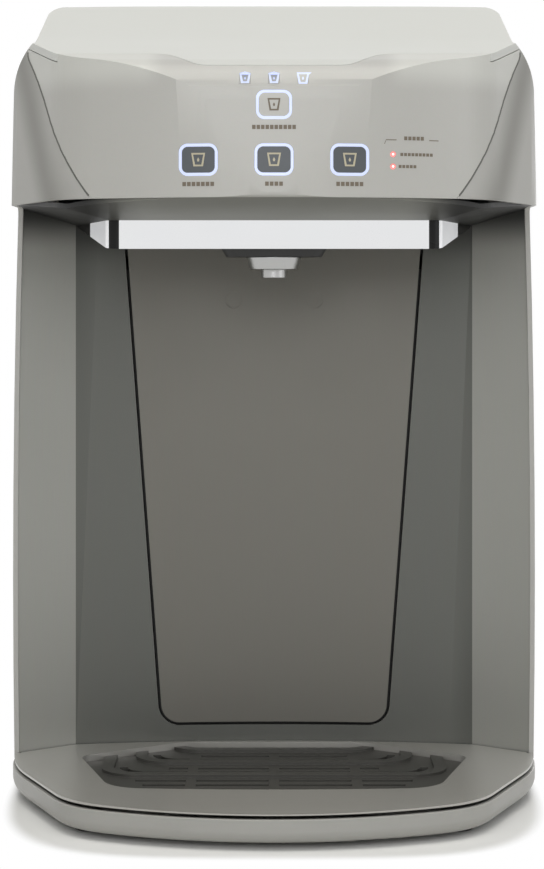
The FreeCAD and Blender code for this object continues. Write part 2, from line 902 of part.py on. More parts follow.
fascia_zone = prism("fascia_zone", "side", slant_seam("seam / 2", "-slant_radius") + [
    (ahead("2 * front_reach"), TOP, None),
    (ahead("2 * front_reach"), HEAD_LOW, None),
], "-overall_width", "2 * overall_width")
casing_zone = prism("casing_zone", "side", slant_seam("-seam / 2", "slant_radius") + [
    ("overall_depth", TOP, None),
    ("overall_depth", "0", None),
    (ahead("slant_foot_reach - seam / 2"), "0", None),
], "-overall_width", "2 * overall_width")

HINGE_Y = behind("lid_hinge_behind")
HINGE_Z = "(overall_height - lid_hinge_drop)"
SWING = "(lid_hinge_drop + lid_swing_gap)"


def lid_zone(name, grow, rear):
    """The space that the lid takes, grown by a gap where another piece is cut for it."""
    low_front = lid_height("2 * tongue_reach") + " - lid_rim - (%s)" % grow
    low_bend = "bend_height - lid_rim - (%s)" % grow
    low_crest = "overall_height - lid_rim - (%s)" % grow
    low_rear = "%s + hinge_boss_radius / 2 - (%s)" % (HINGE_Z, grow)
    knuckle = "lid_hinge_behind - 2 * lid_barrel_radius"
    sides = prism(name + "_side", "side", [
        (ahead("2 * tongue_reach"), low_front, None),
        (ahead("2 * tongue_reach"), TOP, None),
        (behind(rear), TOP, None),
        (behind(rear), low_rear, None),
        (behind(knuckle), low_rear, None),
        (behind(knuckle), low_crest, None),
        (behind("crest_behind"), low_crest, None),
        (ahead("bend_reach"), low_bend, None),
    ], "-overall_width", "2 * overall_width")
    top = prism(name + "_plan", "plan", both_sides([
        ("shoulder_half + (%s)" % grow, behind(rear), None),
        ("shoulder_half + (%s)" % grow, ahead("slant_high_reach - (%s)" % grow), None),
        ("overall_width", ahead("slant_high_reach - (%s)" % grow), None),
        ("overall_width", ahead("lid_front + (%s)" % grow), None),
        ("tongue_shoulder + (%s) / 2" % grow, ahead("lid_front + (%s)" % grow), "tongue_blend_radius"),
        ("tongue_half + (%s) / 2" % grow, ahead("tongue_reach + (%s)" % grow), "tongue_blend_radius"),
    ]), "0", "2 * overall_height")
    return common(name, sides, top)


lid_place = lid_zone("lid_place", "0", "lid_hinge_behind")
lid_room = lid_zone("lid_room", "seam", "lid_hinge_behind + " + SWING)


def rear_zone(name, grow):
    """The back wall, wrapped round the rear corners, and the flat top behind the lid."""
    back = box(name + "_back", ("-overall_width", "overall_width"),
               (behind("rear_cover_behind - (%s)" % grow), "overall_depth"), ("0", "2 * overall_height"))
    deck = box(name + "_deck", ("-(shoulder_half + wall + %s)" % grow, "shoulder_half + wall + %s" % grow),
               (behind("lid_hinge_behind + %s - (%s)" % (SWING, grow)), "overall_depth"),
               ("shoulder_height", "2 * overall_height"))
    return fuse(name, back, deck)


rear_place = rear_zone("rear_place", "0")
rear_room = rear_zone("rear_room", "seam")

# Side shells, with the ledge that the lid lies on and the boss of its hinge pin

casings = carve("casings", meet("casing_shells", shell, casing_zone), lid_room, rear_room)
ledge_strip = prism("ledge_strip", "side", [
    (ahead("slant_high_reach - ledge_width"),
     crest_height("slant_high_reach - ledge_width") + " - lid_rim - seam", None),
    (ahead("slant_high_reach - ledge_width"),
     crest_height("slant_high_reach - ledge_width") + " - lid_rim - seam - ledge_thickness", None),
    (behind("ledge_end"), crest_height("-ledge_end") + " - lid_rim - seam - ledge_thickness", None),
    (behind("ledge_end"), crest_height("-ledge_end") + " - lid_rim - seam", None),
], "-overall_width", "2 * overall_width")
for side, sign in (("left", "-1"), ("right", "1")):
    inner_edge = "shoulder_half - ledge_width"
    near, far = ("-overall_width", "-(%s)" % inner_edge) if sign == "-1" else (inner_edge, "overall_width")
    strip = meet(side + "_ledge", ledge_strip, inner, box(
        side + "_ledge_zone", (near, far), ("-overall_depth", "overall_depth"), ("0", TOP)))
    start = "lid_barrel_half + lid_swing_gap"
    boss_from = start if sign == "1" else "-(shoulder_half - wall / 2)"
    boss = rod(side + "_hinge_boss", "hinge_boss_radius",
               "shoulder_half - wall / 2 - (%s)" % start, "x", boss_from, HINGE_Y, HINGE_Z)
    hole = rod(side + "_hinge_hole", "hinge_pin_radius + hinge_pin_play",
               "shoulder_half - wall - (%s)" % start, "x",
               start if sign == "1" else "-(shoulder_half - wall)", HINGE_Y, HINGE_Z)
    half_box = box(side + "_half", ("-overall_width", "0") if sign == "-1" else ("0", "overall_width"),
                   ("-overall_depth", "overall_depth"), ("0", TOP))
    half_shell = meet(side + "_shell", casings, half_box)
    node(side + "_casing", carve(side + "_casing_solid", join(side + "_casing_parts", half_shell, strip, boss), hole))

# Lid: a shallow cap with a finger tongue, its rear edge rolled into the hinge barrel

barrel = rod("lid_barrel", "lid_barrel_radius", "2 * lid_barrel_half", "x", "-lid_barrel_half", HINGE_Y, HINGE_Z)
lid_cap = meet("lid_cap", shell, lid_place)
pin_holes = rod("lid_pin_holes", "hinge_pin_radius + hinge_pin_play", "2 * lid_barrel_half + 2", "x",
                "-lid_barrel_half - 1", HINGE_Y, HINGE_Z)
boss_rooms = []
for side, start in (("left", "-overall_width / 2"), ("right", "lid_barrel_half")):
    boss_rooms.append(rod(side + "_boss_room", "hinge_boss_radius + 3 * seam",
                          "overall_width / 2 - lid_barrel_half", "x", start, HINGE_Y, HINGE_Z))
node("lid", carve("lid_solid", join("lid_parts", lid_cap, barrel), pin_holes, *boss_rooms))
pin_length = "shoulder_half - wall - lid_barrel_half + hinge_pin_depth - seam"
left_pin = rod("left_lid_pin", "hinge_pin_radius", pin_length, "x", "-(shoulder_half - wall - seam / 2)",
               HINGE_Y, HINGE_Z)
right_pin = rod("right_lid_pin", "hinge_pin_radius", pin_length, "x", "lid_barrel_half - hinge_pin_depth",
                HINGE_Y, HINGE_Z)
node("lid_hinge_pins", group("lid_pins", left_pin, right_pin))

# Keys and lamps: light guides and caps that fill windows of the fascia, flush with its face


def window(name, x, z, width, height, rounding, grow):
    """A rounded opening through the fascia, seen from the front."""
    half_width = "(%s) / 2 + (%s)" % (width, grow)
    half_height = "(%s) / 2 + (%s)" % (height, grow)
    corners = [
        ("%s + %s" % (x, half_width), "%s + %s" % (z, half_height), "%s + (%s)" % (rounding, grow)),
        ("%s - (%s)" % (x, half_width), "%s + %s" % (z, half_height), "%s + (%s)" % (rounding, grow)),
        ("%s - (%s)" % (x, half_width), "%s - (%s)" % (z, half_height), "%s + (%s)" % (rounding, grow)),
        ("%s + %s" % (x, half_width), "%s - (%s)" % (z, half_height), "%s + (%s)" % (rounding, grow)),
    ]
    return prism(name, "front", corners, "-overall_depth", "overall_depth")


fascia_shell = carve("fascia_shell", meet("fascia_skin", shell, fascia_zone), lid_room)
fascia_openings = []
KEYS = [
    ("natural_key", "-key_pitch", "key_height", "key_width", "key_height_size"),
    ("cold_key", "0", "key_height", "key_width", "key_height_size"),
    ("iced_key", "key_pitch", "key_height", "key_width", "key_height_size"),
    ("volume_key", "0", "volume_key_height", "volume_key_width", "volume_key_height_size"),
]
for name, x, z, width, height in KEYS:
    cap = window(name + "_cap_window", x, z, width, height, "key_corner_radius", "0")
    ring_inner = window(name + "_ring_inner", x, z, width, height, "key_corner_radius", "key_gap")
    ring_outer = window(name + "_ring_outer", x, z, width, height, "key_corner_radius",
                        "key_gap + key_ring_width")
    opening = window(name + "_opening", x, z, width, height, "key_corner_radius",
                     "2 * key_gap + key_ring_width")
    node(name, meet(name + "_cap", fascia_shell, cap))
    node(name + "_ring", carve(name + "_ring_solid", meet(name + "_ring_skin", fascia_shell, ring_outer), ring_inner))
    fascia_openings.append(opening)
lamps = {"volume_lamps": [], "replace_lamps": []}
for index in (-1, 0, 1):
    x = "%d * volume_lamp_pitch" % index
    lamp = window("volume_lamp_%d" % (index + 2), x, "volume_lamp_height", "volume_lamp_width",
                  "volume_lamp_width", "key_gap", "0")
    lamps["volume_lamps"].append(meet("volume_lamp_%d_guide" % (index + 2), fascia_shell, lamp))
    fascia_openings.append(window("volume_lamp_%d_opening" % (index + 2), x, "volume_lamp_height",
                                  "volume_lamp_width", "volume_lamp_width", "key_gap", "key_gap"))
for index in (0, 1):
    z = "replace_lamp_height - %d * replace_lamp_pitch" % index
    lamp = rod("replace_lamp_%d" % index, "replace_lamp_radius", "overall_depth", "y", "replace_lamp_across",
               "-overall_depth", z)
    lamps["replace_lamps"].append(meet("replace_lamp_%d_lens" % index, fascia_shell, lamp))
    fascia_openings.append(rod("replace_lamp_%d_opening" % index, "replace_lamp_radius + key_gap",
                               "overall_depth", "y", "replace_lamp_across", "-overall_depth", z))
for name, lenses in lamps.items():
    doc.recompute()
    node(name, group(name + "_group", *lenses))

# Head fascia with the bosses that carry the control board

bosses = []
for column in ("-1", "1"):
    for row, height in (("low", "board_low"), ("high", "board_high")):
        bosses.append(rod("board_boss_%s_%s" % (row, "left" if column == "-1" else "right"), "board_boss_radius",
                          "board_boss_reach - board_reach", "y", column + " * board_boss_half",
                          ahead("board_boss_reach"), height))
bosses_in_wall = [meet(boss.Name + "_in_wall", boss, outer) for boss in bosses]
node("head_fascia", carve("fascia_solid", join("fascia_parts", fascia_shell, *bosses_in_wall), *fascia_openings))
board = plate("control_board", "XZ_Plane", rectangle("board_half", "(board_high - board_low) / 2 + board_margin",
                                                     "board_margin"), "board_thickness",
              "0", ahead("board_reach - seam / 2 - board_thickness"), "(board_high + board_low) / 2")
node("control_board", board)

# Rear cover with louvres and an opening for the water and mains connections

rear_shell = meet("rear_shell", shell, rear_place)
slots = []
for column in (-1, 1):
    for row in range(LOUVRES):
        low = "louvre_low + %d * louvre_pitch" % row
        middle = "%d * louvre_offset" % column
        slots.append(box("louvre_%s_%d" % ("left" if column < 0 else "right", row + 1),
                         (middle + " - louvre_half", middle + " + louvre_half"),
                         (REAR + " - 2 * wall", "overall_depth"), (low, low + " + louvre_height")))
recess_x = ("recess_left", "recess_left + recess_width")
recess_z = ("recess_bottom", "recess_bottom + recess_height")
slots.append(box("recess_opening", recess_x, (REAR + " - 2 * wall", "overall_depth"), recess_z))
hooks = []
for column in (-1, 1):
    for height in ("condenser_low", "condenser_high"):
        x = "%d * condenser_half" % column
        hooks.append(box("hook_%s_%s" % ("left" if column < 0 else "right", height.split("_")[1]),
                         (x + " - hook_half", x + " + hook_half"),
                         (behind("condenser_behind + condenser_tube_radius + hook_gap"), REAR + " - wall / 2"),
                         (height + " - hook_half", height + " + hook_half")))
node("rear_cover", carve("rear_solid", join("rear_parts", rear_shell, *hooks), *slots))
recess_block = box("recess_block", ("recess_left + seam / 2", "recess_left + recess_width - seam / 2"),
                   (REAR + " - recess_depth - wall", REAR),
                   ("recess_bottom + seam / 2", "recess_bottom + recess_height - seam / 2"))
recess_room = box("recess_room", ("recess_left + wall", "recess_left + recess_width - wall"),
                  (REAR + " - recess_depth", "overall_depth"),
                  ("recess_bottom + wall", "recess_bottom + recess_height - wall"))
INLET_X = "(recess_left + recess_width * 0.3)"
GLAND_X = "(recess_left + recess_width * 0.72)"
RECESS_Z = "(recess_bottom + recess_height / 2)"
WALL_Y = "(overall_depth / 2 - recess_depth - wall)"
inlet_hole = rod("inlet_hole", "inlet_radius + neck_play / 4", "2 * recess_depth", "y", INLET_X,
                 WALL_Y + " - wall", RECESS_Z)
gland_hole = rod("gland_hole", "gland_radius + neck_play / 4", "2 * recess_depth", "y", GLAND_X,
                 WALL_Y + " - wall", RECESS_Z)
node("connection_plate", cut("connection_solid", cut("connection_tub", recess_block, recess_room),
                             inlet_hole, gland_hole))


# Cutting planes


def above(name, y, z, lean_x, lean_y, x="0"):
    """A block whose underside passes through a point and falls by these slopes along X and Y."""
    solid = doc.addObject("Part::Box", name)
    bind_all(solid, Length="4 * overall_width", Width="4 * overall_depth", Height="overall_height")
    normal = Vector(value(lean_x), value(lean_y), 1)
    turn = Rotation(Vector(0, 0, 1), normal)
    corner = turn.multVec(Vector(-2 * SIZES["overall_width"], -2 * SIZES["overall_depth"], 0))
    solid.Placement = FreeCAD.Placement(Vector(value(x), value(y), value(z)) + corner, turn)
    return solid


# Base pan with its skirt, on four rubber feet

def rounded_under(name, source, height, radius):
    """The solid with every edge at this height rounded."""
    doc.recompute()
    level = value(height)
    edges = [edge for edge in source.Shape.Edges
             if abs(edge.BoundBox.ZMin - level) < 0.01 and abs(edge.BoundBox.ZMax - level) < 0.01]
    return feature(name, source.Shape.makeFillet(value(radius), edges))


pan_block = extrude("pan_block", base_plan, "plan", "skirt_top - foot_height")
pan_block.setExpression("Placement.Base.z", bind("foot_height"))
pan_outside = rounded_under("pan_outside", pan_block, "foot_height", "skirt_edge_radius")
pan_hollow = grown("pan_hollow", base_plan, "plan", "-skirt_wall", "foot_height + pan_floor", "skirt_top")
pan_inside = rounded_under("pan_inside", pan_hollow, "foot_height + pan_floor", "skirt_edge_radius - skirt_wall")
DRAIN = ("tank_half_offset", behind("tank_behind"))
drain_hole = rod("drain_hole", "drain_radius + hinge_pin_play", "2 * foot_height + pan_floor", "z", *DRAIN)
node("base_pan", carve("pan_solid", pan_outside, pan_inside, drain_hole))
drain_stem = rod("drain_stem", "drain_radius", "pan_floor + foot_height / 2", "z", *DRAIN, "foot_height / 2")
drain_cap = rod("drain_cap", "drain_radius + drain_flange", "pan_floor", "z", *DRAIN, "foot_height + pan_floor")
node("drain_plug", fuse("drain_plug_solid", drain_stem, drain_cap))
feet = []
for side, sign in (("left", "-"), ("right", "")):
    feet.append(rod("front_%s_foot" % side, "foot_radius", "foot_height", "z", sign + "foot_front_half",
                    ahead("foot_front_reach")))
    feet.append(rod("rear_%s_foot" % side, "foot_radius", "foot_height", "z", sign + "foot_rear_half",
                    behind("foot_rear_behind")))
node("rubber_feet", group("feet", *feet))
screws = []
for side, sign in (("left", "-"), ("right", "")):
    for spot, y in (("front", ahead("screw_reach")), ("middle", behind("screw_middle")), ("rear", behind("screw_behind"))):
        head = cone("%s_%s_screw" % (spot, side), "screw_radius * 0.7", "screw_radius", "screw_height",
                    sign + "screw_half", y, "foot_height - screw_height")
        socket = rod("%s_%s_socket" % (spot, side), "screw_radius * 0.35", "screw_height", "z",
                     sign + "screw_half", y, "foot_height - screw_height * 1.4")
        screws.append(cut("%s_%s_screw_head" % (spot, side), head, socket))
node("base_screws", group("screws", *screws))

# Niche: the region in front of the liner, and the same grown by the liner's wall

TIP = "(%s - wall)" % HALF
CREASE = "(%s - flare_width)" % TIP
niche_sketch = outline("niche_plan", "plan", both_sides([
    (CREASE, behind("flare_depth"), None),
    (TIP, behind("seam"), None),
    (TIP, ahead("2 * front_reach"), None),
], across_rear="niche_radius"))
niche_room = extrude("niche_room", niche_sketch, "plan", "overall_height")
liner_room = grown("liner_room", niche_sketch, "plan", "liner_wall", "0", "overall_height")
column_slice = box("column_slice", WIDE, (behind("seam"), behind("4 * niche_depth")), ("liner_bottom", "liner_top"))
liner_skin = meet("liner_skin", carve("liner_sheet", liner_room, niche_room), inner, column_slice)

# The window of the filter bay, seen from the front

WINDOW_TOP = "(cover_top + cover_swing_gap)"
window_sketch = outline("bay_window", "front", both_sides([
    ("cover_top_half + seam", WINDOW_TOP, None),
    ("cover_bottom_half", "cover_bottom", "cover_corner_radius"),
]), ahead("0"))
bay_window = extrude("bay_window_room", window_sketch, "front", "bay_rear")
node("niche_liner", carve("liner_solid", liner_skin, bay_window))

# Filter cover, hung from two ears on pins near its top edge

cover_prism = grown("cover_prism", window_sketch, "front", "-cover_seam", ahead("0"), "bay_rear")
cover_low = box("cover_low", WIDE, (ahead("0"), behind("bay_rear")), ("0", "cover_top"))
cover_panel = meet("cover_panel", cover_prism, cover_low, liner_skin)
AXIS_Y = behind("cover_hinge_behind")
cover_parts = [cover_panel]
for side, sign in (("left", -1), ("right", 1)):
    near = "%d * cover_ear_half" % sign
    far = "%d * (cover_ear_half + cover_ear_width)" % sign
    low, high = (far, near) if sign < 0 else (near, far)
    ear_bar = box(side + "_ear_bar", (low, high), (behind("flare_depth"), AXIS_Y),
                  ("cover_hinge_height - cover_ear_radius", "cover_hinge_height + cover_ear_radius"))
    ear = carve(side + "_ear", ear_bar, niche_room)
    knuckle = rod(side + "_knuckle", "cover_ear_radius", "cover_ear_width", "x", low, AXIS_Y, "cover_hinge_height")
    pin_from = far if sign > 0 else far + " - cover_pin_length"
    pin = rod(side + "_cover_pin", "cover_pin_radius", "cover_pin_length", "x", pin_from, AXIS_Y,
              "cover_hinge_height")
    cover_parts += [ear, knuckle, pin]
finger_marks = []
for sign in (-1, 1):
    mark = rod("finger_mark_%s" % ("left" if sign < 0 else "right"), "dimple_half_width", "niche_depth", "y",
               "%d * dimple_spacing / 2" % sign, ahead("0"), "dimple_height")
    finger_marks.append(mark)
mark_depth = grown("mark_depth", niche_sketch, "plan", "dimple_depth", "0", "overall_height")
cover_solid = join("cover_parts", *cover_parts)
for mark in finger_marks:
    cover_solid = carve(mark.Name + "_sunk", cover_solid, meet(mark.Name + "_room", mark, mark_depth))
node("filter_cover", cover_solid)

# Filter bay: a tub behind the window, with the bearings of the cover's pins

bay_outside = grown("bay_outside", window_sketch, "front", "bay_wall", behind("wall"), "bay_rear + bay_wall - wall")
PORTS = (("inlet", "-1"), ("natural", "0"), ("cold", "1"))
bay_tools = [bay_window, liner_room]
for name, step in PORTS:
    bay_tools.append(rod(name + "_port_hole", "port_radius + seam / 4", "overall_depth / 2", "y",
                         step + " * port_pitch", behind("bay_rear - wall"), "port_height"))
bay_tub = carve("bay_tub", bay_outside, *bay_tools)
bearings = []
for side, sign in (("left", -1), ("right", 1)):
    near = "%d * (cover_ear_half + cover_ear_width + seam)" % sign
    far = "%d * (cover_top_half + bay_wall / 2)" % sign
    low = far if sign < 0 else near
    bearing = rod(side + "_bearing", "cover_ear_radius",
                  "cover_top_half + bay_wall / 2 - cover_ear_half - cover_ear_width - seam", "x", low,
                  AXIS_Y, "cover_hinge_height")
    hole = rod(side + "_bearing_hole", "cover_pin_radius + hinge_pin_play", "cover_pin_length + seam", "x",
               near if sign > 0 else near + " - cover_pin_length - seam", AXIS_Y, "cover_hinge_height")
    bearings.append(cut(side + "_bearing_solid", bearing, hole))
node("filter_bay", join("bay_solid", bay_tub, *bearings))
gasket_outside = grown("gasket_outside", window_sketch, "front", "-seam * 0.75", ahead("0"), "bay_rear")
gasket_inside = grown("gasket_inside", window_sketch, "front", "-gasket_width", ahead("0"), "bay_rear")
gasket_near = grown("gasket_near", niche_sketch, "plan", "liner_wall + seam * 0.75", "0", "gasket_top")
gasket_far = grown("gasket_far", niche_sketch, "plan", "liner_wall + seam * 0.75 + gasket_thickness", "0",
                   "gasket_top")
gasket_ring = meet("gasket_ring", gasket_outside, gasket_far)
node("filter_cover_gasket", carve("gasket_solid", gasket_ring, gasket_inside, gasket_near))

# Filter cartridge, turned into the bayonet of its manifold

CARTRIDGE_Y = behind("cartridge_behind")
cartridge_body = turned("cartridge_shell", [
    ("0", "cartridge_bottom", None),
    ("cartridge_radius", "cartridge_bottom", "cartridge_edge"),
    ("cartridge_radius", "cartridge_shoulder", "cartridge_edge * 1.5"),
    ("cartridge_neck_radius", "cartridge_shoulder + cartridge_edge", None),
    ("cartridge_neck_radius", "cartridge_neck_top", None),
    ("0", "cartridge_neck_top", None),
], "0", CARTRIDGE_Y)
lug_bar = box("lug_bar", ("-lug_half_width", "lug_half_width"),
              ("%s - cartridge_key_half" % CARTRIDGE_Y, "%s + cartridge_key_half" % CARTRIDGE_Y),
              ("lug_bottom", "lug_bottom + lug_thickness"))
lug_ends = rod("lug_ends", "cartridge_key_half", "lug_thickness", "z", "0", CARTRIDGE_Y, "lug_bottom")
lug = common("cartridge_lugs", lug_bar, lug_ends)
grip = box("cartridge_grip", ("-cartridge_radius * 0.7", "cartridge_radius * 0.7"),
           ("%s - wall" % CARTRIDGE_Y, "%s + wall" % CARTRIDGE_Y),
           ("cartridge_bottom - grip_height", "cartridge_bottom + wall"))
seal_places = ("lug_bottom + lug_thickness + seam * 2", "lug_bottom + lug_thickness + seam * 2 + 2 * seal_height")
grooves = []
seals = []
for number, low in enumerate(seal_places, start=1):
    ring = rod("seal_groove_%d" % number, "cartridge_neck_radius * 2", "seal_height", "z", "0", CARTRIDGE_Y, low)
    core = rod("seal_groove_core_%d" % number, "cartridge_neck_radius - seal_depth", "seal_height", "z", "0",
               CARTRIDGE_Y, low)
    grooves.append(cut("seal_groove_ring_%d" % number, ring, core))
    seal = rod("seal_%d_outside" % number, "cartridge_neck_radius + neck_play / 2", "seal_height", "z", "0",
               CARTRIDGE_Y, low)
    bore = rod("seal_%d_bore" % number, "cartridge_neck_radius - seal_depth", "seal_height", "z", "0",
               CARTRIDGE_Y, low)
    seals.append(cut("seal_%d" % number, seal, bore))
node("filter_cartridge", carve("cartridge_solid", join("cartridge_parts", cartridge_body, lug, grip), *grooves))
node("cartridge_seals", group("seals", *seals))
manifold_head = rod("manifold_head", "manifold_radius", "manifold_top - manifold_bottom", "z", "0", CARTRIDGE_Y,
                    "manifold_bottom")
manifold_block = box("manifold_block", ("-port_pitch - 2 * port_radius", "port_pitch + 2 * port_radius"),
                     ("%s - manifold_radius * 0.8" % CARTRIDGE_Y, "%s + manifold_radius * 0.8" % CARTRIDGE_Y),
                     ("manifold_top - wall", WINDOW_TOP + " - seam / 2"))
manifold_bore = rod("manifold_bore", "cartridge_neck_radius + neck_play",
                    "cartridge_neck_top - manifold_bottom + 2 * neck_play + 2", "z", "0", CARTRIDGE_Y,
                    "manifold_bottom - 2")
bayonet_ring = rod("bayonet_ring", "cartridge_key_half + neck_play", "lug_thickness + 2 * neck_play", "z", "0",
                   CARTRIDGE_Y, "lug_bottom - neck_play")
bayonet_slot = box("bayonet_slot", ("-cartridge_key_half - neck_play", "cartridge_key_half + neck_play"),
                   ("%s - lug_half_width - neck_play" % CARTRIDGE_Y, "%s + lug_half_width + neck_play" % CARTRIDGE_Y),
                   ("manifold_bottom - 2", "lug_bottom + neck_play"))
port_tubes = []
for name, step in PORTS:
    port_tubes.append(rod(name + "_port", "port_radius", "bay_rear + port_length - cartridge_behind", "y",
                          step + " * port_pitch", CARTRIDGE_Y, "port_height"))
manifold_body = join("manifold_body", manifold_head, manifold_block, *port_tubes)
node("filter_manifold", carve("manifold_solid", manifold_body, manifold_bore, bayonet_ring, bayonet_slot))

# Drip tray: a wide rim that falls away from the pool, and a tub with a ledge for the grille

tray_ahead = grown("tray_ahead", base_plan, "plan", "-tray_inset", "tray_underside", "deck_height - tray_underside")
tray_ahead_zone = box("tray_ahead_zone", WIDE, (ahead("2 * front_reach"), ahead("tray_back_gap")), ("0", "deck_height"))
tray_niche = grown("tray_niche", base_plan, "plan", "-(wall + tray_back_gap)", "tray_underside",
                   "deck_height - tray_underside")
tray_niche_room = grown("tray_niche_room", niche_sketch, "plan", "-tray_back_gap", "0", "deck_height")
tray_niche_zone = box("tray_niche_zone", WIDE, (ahead("2 * tray_back_gap"), REAR), ("0", "deck_height"))
pool_sketch = outline("pool_plan", "plan", both_sides([
    ("pool_back_half", behind("pool_back"), "pool_back_radius"),
    ("pool_side_half", ahead("pool_side_reach"), "pool_side_radius"),
    ("pool_corner_half", ahead("pool_front"), "pool_corner_radius"),
], across_front="pool_front_radius"))
tub = grown("tub_outside", pool_sketch, "plan", "tray_wall", "tray_floor_underside", "deck_height - tray_floor_underside")
pool_room = grown("pool_room", pool_sketch, "plan", "0.001", "grille_underside", "overall_height")
tub_room = grown("tub_room", pool_sketch, "plan", "-pool_ledge", "tray_floor_top", "overall_height")
FALL = "((deck_height - rim_edge_height) / (front_reach - pool_front))"
front_fall = above("front_fall", ahead("pool_front"), "deck_height", "0", "-(%s)" % FALL)
SIDE_LEAN = "(%s * 0.755)" % FALL
side_falls = []
for side, sign in (("left", "-"), ("right", "")):
    side_falls.append(above(side + "_fall", ahead("pool_side_reach"), "deck_height",
                            sign + SIDE_LEAN, "-(%s * 0.244)" % FALL, sign + "(pool_side_half)"))
tray_solid = join("tray_parts", meet("tray_front", tray_ahead, tray_ahead_zone),
                  meet("tray_rear", tray_niche, tray_niche_room, tray_niche_zone))
tray_solid = carve("tray_falls", tray_solid, front_fall, *side_falls)
tray_solid = join("tray_with_tub", tray_solid, carve("tub_shell", tub, front_fall))
node("drip_tray", carve("tray_solid", tray_solid, pool_room, tub_room))

# Grille: a plate with nested ridges and slots between them

grille_plate = grown("grille_plate", pool_sketch, "plan", "-grille_play", "grille_underside", "grille_thickness")
grille_limit = grown("grille_limit", pool_sketch, "plan", "-grille_play", "grille_underside",
                     "grille_thickness + ridge_height")


def bay_of_ridge(name, half, reach, rounding, low, high):
    """A region with a straight front and rounded front corners, open to the rear."""
    return prism(name, "plan", both_sides([
        (half, behind("2 * pool_back"), None),
        (half, ahead(reach), rounding),
    ]), low, "(%s) - (%s)" % (high, low))


RIDGE_TOP = "(grille_underside + grille_thickness + ridge_height)"
ridges = []
grille_slots = []
for number in range(RIDGES):
    half = "(ridge_half - %d * ridge_step)" % number
    reach = "(ridge_first - %d * ridge_pitch)" % number
    outside = bay_of_ridge("ridge_%d_outside" % number, half, reach, "ridge_corner_radius", "grille_underside",
                           RIDGE_TOP)
    inside = bay_of_ridge("ridge_%d_inside" % number, half + " - ridge_width", reach + " - ridge_width",
                          "ridge_corner_radius - ridge_width", "grille_underside - 1", RIDGE_TOP + " + 1")
    ridges.append(meet("ridge_%d" % number, carve("ridge_%d_band" % number, outside, inside), grille_limit))
    if number + 1 == RIDGES:
        break
    for row, gap in enumerate(("ridge_width + slot_width", "ridge_width + 3 * slot_width")):
        narrow = half + " - ridge_width - (ridge_step - ridge_width - slot_width) / 2"
        slot_reach = reach + " - (%s)" % gap
        low = "grille_underside - 1"
        if row == 0:
            slot_outside = bay_of_ridge("slot_%d_outside" % number, narrow, slot_reach,
                                        "ridge_corner_radius / 2 + slot_width", low, RIDGE_TOP)
            slot_inside = bay_of_ridge("slot_%d_inside" % number, narrow + " - slot_width",
                                       slot_reach + " - slot_width", "ridge_corner_radius / 2", low, RIDGE_TOP)
            rear = "%s - (%s) * 0.8" % (reach, "ridge_pitch")
            limit = box("slot_%d_limit" % number, WIDE, (ahead("2 * front_reach"), ahead(rear)), ("0", "skirt_top * 2"))
            grille_slots.append(meet("slot_%d_row" % number, carve("slot_%d_band" % number, slot_outside, slot_inside),
                                     limit))
        else:
            half_row = half + " - ridge_step - ridge_corner_radius"
            grille_slots.append(box("slot_%d_straight" % number, ("-(%s)" % half_row, half_row),
                                    (ahead(slot_reach), ahead(slot_reach + " - slot_width")),
                                    ("grille_underside - 1", RIDGE_TOP)))
for row in range(FRONT_SLOTS):
    reach = "(pool_front - 2 * slot_width - %d * 2.4 * slot_width)" % row
    half_row = "(pool_corner_half - ridge_corner_radius + %d * slot_width)" % row
    grille_slots.append(box("front_slot_%d" % row, ("-(%s)" % half_row, half_row),
                            (ahead(reach), ahead(reach + " - slot_width")), ("grille_underside - 1", RIDGE_TOP)))
bridges = []
for column in (-1, 0, 1):
    middle = "%d * bridge_pitch" % column
    bridges.append(box("bridge_%d" % (column + 2), (middle + " - bridge_width / 2", middle + " + bridge_width / 2"),
                       (ahead("front_reach"), behind("niche_depth")), ("0", "skirt_top * 2")))
grille_slots = [carve(slot.Name + "_bridged", slot, *bridges) for slot in grille_slots]
grille_pierced = carve("grille_pierced", grille_plate, *grille_slots)
node("drip_grille", join("grille_solid", grille_pierced, *ridges))


# Head underside: a dished panel from the head's lower edge down to the band


def lofted(name, low, high):
    """A solid between two outlines with matching corners."""
    solid = doc.addObject("Part::Loft", name)
    solid.Sections = [low, high]
    solid.Solid = True
    solid.Ruled = True
    return solid


DISH_TOP = "(head_bottom + dish_rise)"
LINER_NEAR = "(niche_depth - seam * 0.75)"


def dish(name, lift):
    low = outline(name + "_low", "plan", both_sides([
        ("band_rear_half", behind("band_rear_behind + flare_depth"), None),
        ("band_rear_half", behind("band_rear_behind"), None),
        ("band_front_half", ahead("band_front_reach"), None),
    ]), "band_top + (%s)" % lift)
    high = outline(name + "_high", "plan", both_sides([
        ("dish_rear_half", behind("band_rear_behind + flare_depth"), None),
        ("dish_rear_half", behind("band_rear_behind - 1"), None),
        ("dish_front_half", ahead("dish_front_reach"), None),
    ]), "%s + (%s)" % (DISH_TOP, lift))
    return lofted(name, low, high)


dish_outside = dish("dish_outside", "0")
dish_inside = dish("dish_inside", "underside_wall")
dish_limit = grown("dish_limit", plan, "plan", "-(wall + seam / 2)", "0", "overall_height")
dish_niche = grown("dish_niche", niche_sketch, "plan", "-seam * 0.75", "0", "overall_height")
dish_front = grown("dish_sides", front_sketch, "front", "-(wall + seam / 2)", "-overall_depth", "2 * overall_depth")
spout_hole = rod("underside_hole", "spout_radius + seam", "overall_height", "z", "0", ahead("nozzle_reach"))
underside = meet("underside_skin", carve("dish_skin", dish_outside, dish_inside), dish_limit, dish_niche, dish_front)
node("head_underside", carve("underside_solid", underside, spout_hole))

# Chrome band, and the housing that fills it

